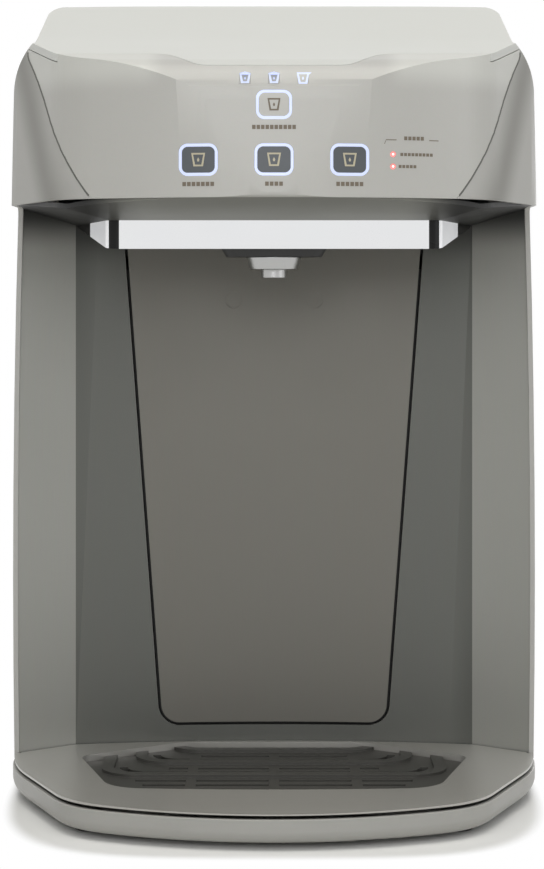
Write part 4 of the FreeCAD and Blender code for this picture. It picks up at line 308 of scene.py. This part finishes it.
WORN_BY = {
    "silver_lacquered_abs": ["left_casing", "right_casing", "rear_cover"],
    # The skirt's lacquer is darkened all over with painted shade
    "skirt_lacquer_painted_shade": ["base_pan"],
    "pale_lacquered_abs": ["lid"],
    "warm_silver_lacquer": ["head_fascia", "volume_key", "volume_lamps"],
    "graphite_metallic_paint": ["niche_liner"],
    # The underside darkens towards its sides with painted shade
    "underside_painted_shade": ["head_underside"],
    "umber_metallic_paint": ["filter_cover"],
    "dark_grille_paint": ["drip_grille"],
    "tray_metallic_paint": ["drip_tray"],
    "grained_black_abs": ["nozzle_housing", "nozzle_base", "connection_plate", "filter_bay", "natural_valve",
                          "cold_valve", "inlet_valve"],
    "smoked_polycarbonate": ["natural_key", "cold_key", "iced_key"],
    "white_polypropylene": ["filter_cartridge", "filter_manifold", "outlet_manifold", "inlet_fitting"],
    "polished_chrome": ["chrome_band"],
    "brushed_stainless": ["nozzle_collar", "outlet_spout", "lid_hinge_pins", "base_screws", "cold_tank"],
    "galvanised_steel": ["chassis", "compressor_plate"],
    "stoved_black_enamel": ["compressor", "condenser"],
    "drawn_copper": ["evaporator_sleeve"],
    "black_nitrile_rubber": ["rubber_feet", "drain_plug", "filter_cover_gasket", "cartridge_seals",
                             "compressor_mounts", "cord_gland"],
    "green_solder_mask": ["control_board", "power_board"],
    "cream_polyethylene_foam": ["insulation_left", "insulation_right"],
    "milky_polyethylene_tube": ["inlet_hose", "feed_hose", "filtered_hose", "natural_hose", "cold_hose"],
    "ice_blue_light_guide": ["natural_key_ring", "cold_key_ring", "iced_key_ring", "volume_key_ring"],
    "red_led_lens": ["replace_lamps"],
}

# The solids that show get softened copies. This is the width of each one's worn edge in millimetres.

SOFT_EDGES = {
    "left_casing": 0.5, "right_casing": 0.5, "rear_cover": 0.5, "base_pan": 0.4, "lid": 0.6, "head_fascia": 0.4,
    "niche_liner": 0.3, "head_underside": 0.3, "filter_cover": 0.5, "drip_grille": 0.35, "drip_tray": 0.4,
    "nozzle_housing": 0.3, "nozzle_base": 0.6, "connection_plate": 0.4, "natural_key": 0.2, "cold_key": 0.2,
    "iced_key": 0.2, "volume_key": 0.2, "chrome_band": 0.4, "nozzle_collar": 0.5, "outlet_spout": 0.4,
    "filter_cartridge": 0.5, "filter_bay": 0.3, "inlet_fitting": 0.4, "cord_gland": 0.4, "rubber_feet": 0.6,
    "natural_key_ring": 0.1, "cold_key_ring": 0.1, "iced_key_ring": 0.1, "volume_key_ring": 0.1,
    "volume_lamps": 0.1, "replace_lamps": 0.1,
}

MERGE_DISTANCE = 0.002 * MM
SHARP_CREASE, ROUNDED_CREASE = math.radians(28), math.radians(32)


def link(piece, finish):
    """Puts a piece in the scene, in one finish."""
    bpy.context.scene.collection.objects.link(piece)
    piece.data.materials.clear()
    piece.data.materials.append(FINISHES[finish])
    return piece


def softened(node, finish, edge_mm):
    """A copy of a solid's mesh, merged, shaded smooth up to its creases, with its creases rounded."""
    source = frame["nodes"][node]
    mesh = source.data.copy()
    form = bmesh.new()
    form.from_mesh(mesh)
    bmesh.ops.remove_doubles(form, verts=form.verts, dist=MERGE_DISTANCE)
    form.to_mesh(mesh)
    form.free()
    mesh.shade_smooth()
    mesh.set_sharp_from_angle(angle=SHARP_CREASE)
    piece = link(bpy.data.objects.new("seen_" + node, mesh), finish)
    rounding = piece.modifiers.new("rounded_creases", "BEVEL")
    rounding.width = edge_mm * MM
    rounding.segments = 2
    rounding.limit_method = "ANGLE"
    rounding.angle_limit = ROUNDED_CREASE
    rounding.harden_normals = True
    flat_faces = piece.modifiers.new("calm_flat_faces", "WEIGHTED_NORMAL")
    flat_faces.keep_sharp = True
    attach(piece, source["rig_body"])
    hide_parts(node)
    return piece


SEEN = {}
for finish, nodes in WORN_BY.items():
    for node in nodes:
        if node in SOFT_EDGES:
            SEEN[node] = softened(node, finish, SOFT_EDGES[node])
        else:
            frame["nodes"][node].data.materials.clear()
            frame["nodes"][node].data.materials.append(FINISHES[finish])


# Second finishes on one solid: painted shade on the liner's back wall, darker than its flared sides, and on the
# plated band a painted highlight on each flank and a painted dark reflection on all but the front plate

BAND_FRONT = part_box("chrome_band")[0].y
PLATE_HALF = 73.4 * MM
FLANK_FRONT, FLANK_BACK = BAND_FRONT + 2.0 * MM, BAND_FRONT + 49.0 * MM
PLATE_CUTS = [((side * PLATE_HALF, 0, 0), (1, 0, 0)) for side in (-1, 1)]
PLATE_CUTS += [((0, depth, 0), (0, 1, 0)) for depth in (FLANK_FRONT, FLANK_BACK)]


def repainted(node, finish, chosen, cuts=()):
    """A second finish on the faces chosen by their middle and normal, after cuts through the copy."""
    mesh = SEEN[node].data
    form = bmesh.new()
    form.from_mesh(mesh)
    for point, direction in cuts:
        bmesh.ops.bisect_plane(form, geom=form.verts[:] + form.edges[:] + form.faces[:], plane_co=point,
                               plane_no=direction)
    form.normal_update()
    for face in form.faces:
        if chosen(face.calc_center_median(), face.normal):
            face.material_index = len(mesh.materials)
    form.to_mesh(mesh)
    form.free()
    mesh.materials.append(FINISHES[finish])


def on_back_wall(middle, normal):
    """Faces that don't look sideways."""
    return abs(normal.x) < 0.2


def on_flank(middle, normal):
    """Faces that look sideways, as far back as the plate reaches."""
    return abs(normal.x) > 0.5 and FLANK_FRONT < middle.y < FLANK_BACK


def between_plates(middle, normal):
    """Faces on neither flank, apart from those of the front plate, which look to the front."""
    return not on_flank(middle, normal) and not (abs(middle.x) < PLATE_HALF and normal.y < -0.7)


# Painted shade on the liner's back wall
repainted("niche_liner", "back_wall_painted_shade", on_back_wall)
# On the band: a painted dark reflection, then a painted highlight with a faint glow on each flank
repainted("chrome_band", "chrome_painted_dark_reflection", between_plates, PLATE_CUTS)
repainted("chrome_band", "chrome_flank_painted_glow", on_flank)


# Printed marks, laid on the face that they stand on

INK_HEIGHT = 0.07 * MM


def middle_of(node):
    low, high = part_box(node)
    return (low + high) / 2


def face_tree(*nodes):
    """What a ray from the front meets on these solids."""
    points = []
    triangles = []
    for node in nodes:
        mesh = frame["nodes"][node].data
        start = len(points)
        points += [vertex.co.copy() for vertex in mesh.vertices]
        triangles += [[start + index for index in polygon.vertices] for polygon in mesh.polygons]
    return BVHTree.FromPolygons(points, triangles)


FACE = face_tree("head_fascia", "natural_key", "cold_key", "iced_key", "volume_key", "volume_lamps",
                 "replace_lamps")


def first_hit(tree, x, z):
    """The first point that a ray from a metre in front meets, and the normal there, or None twice."""
    return tree.ray_cast(Vector((x, CAD_BOX[0].y - 1, z)), Vector((0, 1, 0)))[:2]


def on_face(x, z, lift):
    """The point of the head's face at a place seen from the front, lifted off it."""
    hit = first_hit(FACE, x, z)[0]
    return Vector((x, (hit.y if hit else CAD_BOX[0].y) - lift, z))


def on_head(name, mesh, finish):
    """A piece of trim on the head, riding on the housing's body."""
    piece = link(bpy.data.objects.new(name, mesh), finish)
    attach(piece, "housing")


def printed(name, polygons, finish):
    """Thin ink shapes: polygons of (across, up) in metres."""
    form = bmesh.new()
    for polygon in polygons:
        form.faces.new([form.verts.new((x, 0, z)) for x, z in polygon])
    bmesh.ops.subdivide_edges(form, edges=form.edges, cuts=1, use_grid_fill=True)
    grown = bmesh.ops.extrude_face_region(form, geom=list(form.faces))
    raised = {item for item in grown["geom"] if isinstance(item, bmesh.types.BMVert)}
    for vertex in form.verts:
        vertex.co = on_face(vertex.co.x, vertex.co.z, INK_HEIGHT if vertex in raised else 0.0)
    bmesh.ops.recalc_face_normals(form, faces=form.faces)
    mesh = bpy.data.meshes.new(name)
    form.to_mesh(mesh)
    form.free()
    on_head(name, mesh, finish)


def cup(middle_x, middle_z, size, stroke, lip=0.0):
    """A tapered cup drawn as four strokes, with a small drop in it and, if asked, a pouring lip."""
    top, bottom, half = 0.52 * size, 0.36 * size, 0.5 * size
    outer = [(-top, half), (top, half), (bottom, -half), (-bottom, -half)]
    inner = [(-top + 1.1 * stroke, half - stroke), (top - 1.1 * stroke, half - stroke),
             (bottom - stroke, -half + stroke), (-bottom + stroke, -half + stroke)]
    shapes = [[outer[i], outer[(i + 1) % 4], inner[(i + 1) % 4], inner[i]] for i in range(4)]
    drop = [(0, 0.16 * size), (0.09 * size, 0), (0.06 * size, -0.14 * size), (-0.06 * size, -0.14 * size),
            (-0.09 * size, 0)]
    shapes.append(drop)
    if lip:
        shapes.append([(top, half), (top + lip, half), (top - 0.02 * size, half - lip)])
    return [[(middle_x + x, middle_z + z) for x, z in shape] for shape in shapes]


# A cup on each key: beige on the three dark keys, brown on the lacquered one
KEY_STROKE = 0.75 * MM
for key, size, ink in (("natural_key", 6.0 * MM, "beige_printed_ink"), ("cold_key", 6.0 * MM, "beige_printed_ink"),
                       ("iced_key", 6.0 * MM, "beige_printed_ink"), ("volume_key", 5.6 * MM, "pad_printed_ink")):
    middle = middle_of(key)
    printed(key + "_cup", cup(middle.x, middle.z, size, KEY_STROKE), ink)


# The joints beside the fascia, as thin dark beads laid in them

JOINT_BEAD = 1.1 * MM
JOINT_STEPS, JOINT_MARGIN = 36, 0.02
SEARCH_STEP, SEARCH_STEPS = 0.2 * MM, 240


def baked(name, maker):
    """The plain mesh that a curve or an object's modifier makes. The object itself goes."""
    bpy.context.scene.collection.objects.link(maker)
    mesh = bpy.data.meshes.new_from_object(maker.evaluated_get(bpy.context.evaluated_depsgraph_get()))
    bpy.data.objects.remove(maker)
    mesh.name = name
    return mesh


def edge_places(node, heights, side):
    """For each height, the first point of a solid's front that a ray meets on the way in from one side."""
    tree = face_tree(node)
    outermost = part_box(node)[1].x
    found = []
    for height in heights:
        for step in range(SEARCH_STEPS):
            hit, normal = first_hit(tree, side * (outermost - SEARCH_STEP * step), height)
            if hit and normal.y < -0.1:
                found.append(hit)
                break
    return found


def joint_bead(name, points, width):
    curve = bpy.data.curves.new(name, "CURVE")
    curve.dimensions = "3D"
    curve.bevel_depth = width / 2
    curve.bevel_resolution = 2
    curve.use_fill_caps = True
    line = curve.splines.new("POLY")
    line.points.add(len(points) - 1)
    sunk = 0.3 * width
    for point, (x, y, z) in zip(line.points, points):
        point.co = (x, y + sunk, z, 1)
    mesh = baked(name, bpy.data.objects.new(name + "_maker", curve))
    mesh.shade_smooth()
    on_head(name, mesh, "dim_joint_lacquer")


FASCIA_LOW, FASCIA_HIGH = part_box("head_fascia")
SHARES = [JOINT_MARGIN + (1 - 2 * JOINT_MARGIN) * step / JOINT_STEPS for step in range(JOINT_STEPS + 1)]
HEIGHTS = [FASCIA_LOW.z + share * (FASCIA_HIGH.z - FASCIA_LOW.z) for share in SHARES]
for side, name in ((-1, "fascia_joint_left"), (1, "fascia_joint_right")):
    joint_bead(name, edge_places("head_fascia", HEIGHTS, side), JOINT_BEAD)


# Lit marks: the volume lamps show as three cups, the last one larger and with a pouring lip, and each red lamp has
# a white middle

VOLUME_STROKE, VOLUME_INSET = 0.85 * MM, 2.4 * MM
VOLUME_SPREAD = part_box("volume_lamps")[1].x - VOLUME_INSET
GLARE_RADIUS, GLARE_INSET = 0.55 * MM, 1.3 * MM
RED_LAMPS = middle_of("replace_lamps")
LOWER_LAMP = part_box("replace_lamps")[0].z + GLARE_INSET
UPPER_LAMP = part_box("replace_lamps")[1].z - GLARE_INSET


def round_spot(middle_x, middle_z, radius, corners=8):
    turns = [2 * math.pi * corner / corners for corner in range(corners)]
    return [(middle_x + radius * math.cos(turn), middle_z + radius * math.sin(turn)) for turn in turns]


for order, size, lip in ((-1, 4.8 * MM, 0.0), (0, 4.8 * MM, 0.0), (1, 5.4 * MM, 1.1 * MM)):
    shapes = cup(order * VOLUME_SPREAD, middle_of("volume_lamps").z, size, VOLUME_STROKE, lip)
    printed("volume_mark_%d" % (order + 2), shapes, "ice_blue_light_guide")
for name, height in (("replace_glare_lower", LOWER_LAMP), ("replace_glare_upper", UPPER_LAMP)):
    printed(name, [round_spot(RED_LAMPS.x, height, GLARE_RADIUS)], "white_led_glare")


# Rows of printed dashes under the keys and beside the red lamps, with a bracket over the lamps' rows

DASH_FILL, DASH_DEPTH = 0.78, 0.05 * MM
KEY_ROW_HEIGHT = 1.9 * MM
BRACKET_RISE, BRACKET_LINE = 9.4 * MM, 0.4 * MM
BRACKET_ARMS = ((-3.2 * MM, 1.6 * MM), (16.6 * MM, 21.0 * MM))
BRACKET_DROP, BRACKET_LEAN = 2.0 * MM, 0.5 * MM


def socket_of(tree, name):
    return next(item.identifier for item in tree.interface.items_tree if item.name == name)


def dash_row_tree():
    """Geometry nodes: a row of equal small blocks along X."""
    tree = bpy.data.node_groups.new("dash_row", "GeometryNodeTree")
    tree.interface.new_socket("Geometry", in_out="OUTPUT", socket_type="NodeSocketGeometry")
    for name, kind in (("Dashes", "NodeSocketInt"), ("Pitch", "NodeSocketFloat"), ("Dash Width", "NodeSocketFloat"),
                       ("Dash Height", "NodeSocketFloat"), ("Ink", "NodeSocketMaterial")):
        tree.interface.new_socket(name, in_out="INPUT", socket_type=kind)
    given = add(tree, "NodeGroupInput").outputs
    step = add(tree, "ShaderNodeCombineXYZ", {"X": given["Pitch"]})
    row = add(tree, "GeometryNodeMeshLine", {"Count": given["Dashes"], "Offset": step.outputs["Vector"]})
    size = add(tree, "ShaderNodeCombineXYZ", {"X": given["Dash Width"], "Y": DASH_DEPTH, "Z": given["Dash Height"]})
    dash = add(tree, "GeometryNodeMeshCube", {"Size": size.outputs["Vector"]})
    placed = add(tree, "GeometryNodeInstanceOnPoints", {
        "Points": row.outputs["Mesh"], "Instance": dash.outputs["Mesh"]})
    real = add(tree, "GeometryNodeRealizeInstances", {"Geometry": placed.outputs["Instances"]})
    inked = add(tree, "GeometryNodeSetMaterial", {"Geometry": real.outputs["Geometry"], "Material": given["Ink"]})
    add(tree, "NodeGroupOutput", {"Geometry": inked.outputs["Geometry"]})
    return tree


DASH_ROW = dash_row_tree()


def printed_row(name, middle_x, middle_z, dashes, pitch, height):
    """A row of dashes laid on the face, centred on a place seen from the front."""
    maker = bpy.data.objects.new(name + "_maker", bpy.data.meshes.new(name + "_empty"))
    modifier = maker.modifiers.new("maker", "NODES")
    modifier.node_group = DASH_ROW
    for socket, setting in (("Dashes", dashes), ("Pitch", pitch), ("Dash Width", DASH_FILL * pitch),
                            ("Dash Height", height), ("Ink", FINISHES["pad_printed_ink"])):
        modifier[socket_of(DASH_ROW, socket)] = setting
    mesh = baked(name, maker)
    start = middle_x - (dashes - 1) * pitch / 2
    for vertex in mesh.vertices:
        x, z = vertex.co.x + start, vertex.co.z + middle_z
        vertex.co = on_face(x, z, INK_HEIGHT if vertex.co.y < 0 else 0.0)
    on_head(name, mesh, "pad_printed_ink")


def bracket():
    """Two level strokes over the lamps' rows, the first with its outer end turned down."""
    top = RED_LAMPS.z + BRACKET_RISE
    under = top - BRACKET_LINE
    near, far = [[(RED_LAMPS.x + start, under), (RED_LAMPS.x + end, under), (RED_LAMPS.x + end, top),
                  (RED_LAMPS.x + start, top)] for start, end in BRACKET_ARMS]
    corner, foot = near[0][0], top - BRACKET_DROP
    turned_down = [(corner - BRACKET_LEAN - BRACKET_LINE, foot), (corner - BRACKET_LEAN, foot), (corner, under),
                   (corner, top)]
    return [near, turned_down, far]


# Under each key: how far the row lies below the key's middle, its dashes and their pitch, in millimetres
for name, key, below, dashes, pitch in (
        ("natural_word", "natural_key", 10.9, 7, 2.1), ("cold_word", "cold_key", 10.9, 4, 2.1),
        ("iced_word", "iced_key", 10.9, 6, 2.1), ("volume_word", "volume_key", 10.2, 10, 2.0)):
    middle = middle_of(key)
    printed_row(name, middle.x, middle.z - below * MM, dashes, pitch * MM, KEY_ROW_HEIGHT)

# Beside the red lamps: the row's place from their middle, its dashes, their pitch and height, in millimetres
for name, across, up, dashes, pitch, height in (
        ("replace_word", 9.6, 10.0, 5, 1.9, 1.7), ("upper_lamp_word", 10.8, 2.7, 9, 1.7, 1.4),
        ("lower_lamp_word", 6.6, -2.7, 5, 1.7, 1.4)):
    printed_row(name, RED_LAMPS.x + across * MM, RED_LAMPS.z + up * MM, dashes, pitch * MM, height * MM)

printed("replace_bracket", bracket(), "pad_printed_ink")


# A pale, plain floor that keeps the object's shadow and turns into the white background round its foot

FLOOR_HALF = 6.0
SHADED_HALF = (CAD_BOX[1].x - 4 * MM, CAD_BOX[1].y + 5 * MM)
FADE_START, FADE_END = 0.94, 1.2


def seen_directly(tree):
    """1 for what is seen itself, in a mirror or through a window, and 0 for what only lights other things."""
    ray = add(tree, "ShaderNodeLightPath").outputs
    seen = add(tree, "ShaderNodeMath", {0: ray["Is Camera Ray"], 1: ray["Is Glossy Ray"]}, operation="MAXIMUM")
    seen = add(tree, "ShaderNodeMath", {0: seen.outputs["Value"], 1: ray["Is Transmission Ray"]},
               operation="MAXIMUM")
    return seen.outputs["Value"]


def studio_paper():
    """Matt paper, fading to white outside a rounded oblong about as large as the object's foot."""
    material, tree, output, place = blank("matt_studio_paper")
    matt = add(tree, "ShaderNodeBsdfDiffuse", {"Color": linear("f4f4f2")})
    away = add(tree, "ShaderNodeVectorMath", {0: place, 1: (1 / SHADED_HALF[0], 1 / SHADED_HALF[1], 1.0)},
               operation="MULTIPLY")
    square = add(tree, "ShaderNodeVectorMath", {0: away.outputs["Vector"], 1: away.outputs["Vector"]},
                 operation="MULTIPLY")
    reach = add(tree, "ShaderNodeVectorMath", {0: square.outputs["Vector"], 1: square.outputs["Vector"]},
                operation="DOT_PRODUCT")
    fade = add(tree, "ShaderNodeMapRange", {
        "Value": reach.outputs["Value"], "From Min": FADE_START, "From Max": FADE_END},
        interpolation_type="SMOOTHSTEP")
    share = add(tree, "ShaderNodeMath", {0: seen_directly(tree), 1: fade.outputs["Result"]}, operation="MULTIPLY")
    white = add(tree, "ShaderNodeEmission", {"Color": linear("ffffff"), "Strength": 1.0})
    mixed = add(tree, "ShaderNodeMixShader", {
        0: share.outputs["Value"], 1: matt.outputs["BSDF"], 2: white.outputs["Emission"]})
    tree.links.new(mixed.outputs["Shader"], output.inputs["Surface"])
    return material


def studio_floor():
    form = bmesh.new()
    form.faces.new([form.verts.new((x * FLOOR_HALF, y * FLOOR_HALF, 0))
                    for x, y in ((-1, -1), (1, -1), (1, 1), (-1, 1))])
    mesh = bpy.data.meshes.new("studio_floor")
    form.to_mesh(mesh)
    form.free()
    mesh.materials.append(studio_paper())
    floor = bpy.data.objects.new("studio_floor", mesh)
    bpy.context.scene.collection.objects.link(floor)


studio_floor()


# Soft lamps, all turned to the object's middle, and white surroundings that light it only faintly

LAMP_AIM = Vector((0, 0, 0.2))


def studio_lamp(name, place, size, watts, colour):
    light = bpy.data.lights.new(name, "AREA")
    light.shape = "RECTANGLE"
    light.size, light.size_y = size
    light.energy = watts
    light.color = linear(colour)[:3]
    piece = bpy.data.objects.new(name, light)
    piece.location = place
    piece.rotation_euler = (LAMP_AIM - Vector(place)).to_track_quat("-Z", "Y").to_euler()
    bpy.context.scene.collection.objects.link(piece)


def white_surroundings():
    world = bpy.data.worlds.new("white_surroundings")
    world.use_nodes = True
    tree = world.node_tree
    tree.nodes.clear()
    dim = add(tree, "ShaderNodeBackground", {"Color": linear("f2f2f0"), "Strength": 0.36})
    white = add(tree, "ShaderNodeBackground", {"Color": linear("ffffff"), "Strength": 1.0})
    both = add(tree, "ShaderNodeMixShader", {
        0: seen_directly(tree), 1: dim.outputs["Background"], 2: white.outputs["Background"]})
    result = add(tree, "ShaderNodeOutputWorld")
    tree.links.new(both.outputs["Shader"], result.inputs["Surface"])
    return world


studio_lamp("ceiling_panel", (0.0, -0.5, 2.2), (2.2, 1.6), 24, "fffdf8")
studio_lamp("front_panel", (-0.2, -2.3, 1.1), (1.4, 1.2), 15, "fbfcff")
studio_lamp("back_panel", (0.4, 2.2, 0.3), (1.4, 0.5), 11, "fcfcff")
studio_lamp("right_panel", (1.9, -0.9, 0.9), (1.0, 1.4), 5, "f8faff")
scene = bpy.context.scene
scene.world = white_surroundings()
scene.view_settings.view_transform = "Standard"


# Camera at the reference picture's viewing point: level, with the horizon a third of the way down

IMAGE_WIDTH, IMAGE_HEIGHT = 544, 869
HORIZON_ROW, MIDDLE_COLUMN = 290, 274
FOCAL_PIXELS = 2190
EYE_TO_COLUMN, EYE_HEIGHT = 1107 * MM, 251 * MM
COLUMN_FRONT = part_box("niche_liner")[0].y - 0.8 * MM
view = bpy.data.cameras.new("front_view")
view.lens = view.sensor_width * FOCAL_PIXELS / IMAGE_HEIGHT
view.shift_x = (IMAGE_WIDTH / 2 - MIDDLE_COLUMN) / IMAGE_HEIGHT
view.shift_y = (HORIZON_ROW - IMAGE_HEIGHT / 2) / IMAGE_HEIGHT
camera = bpy.data.objects.new("front_view", view)
camera.location = (0, COLUMN_FRONT - EYE_TO_COLUMN, EYE_HEIGHT)
camera.rotation_euler = (math.radians(90), 0, 0)
scene.collection.objects.link(camera)
scene.camera = camera
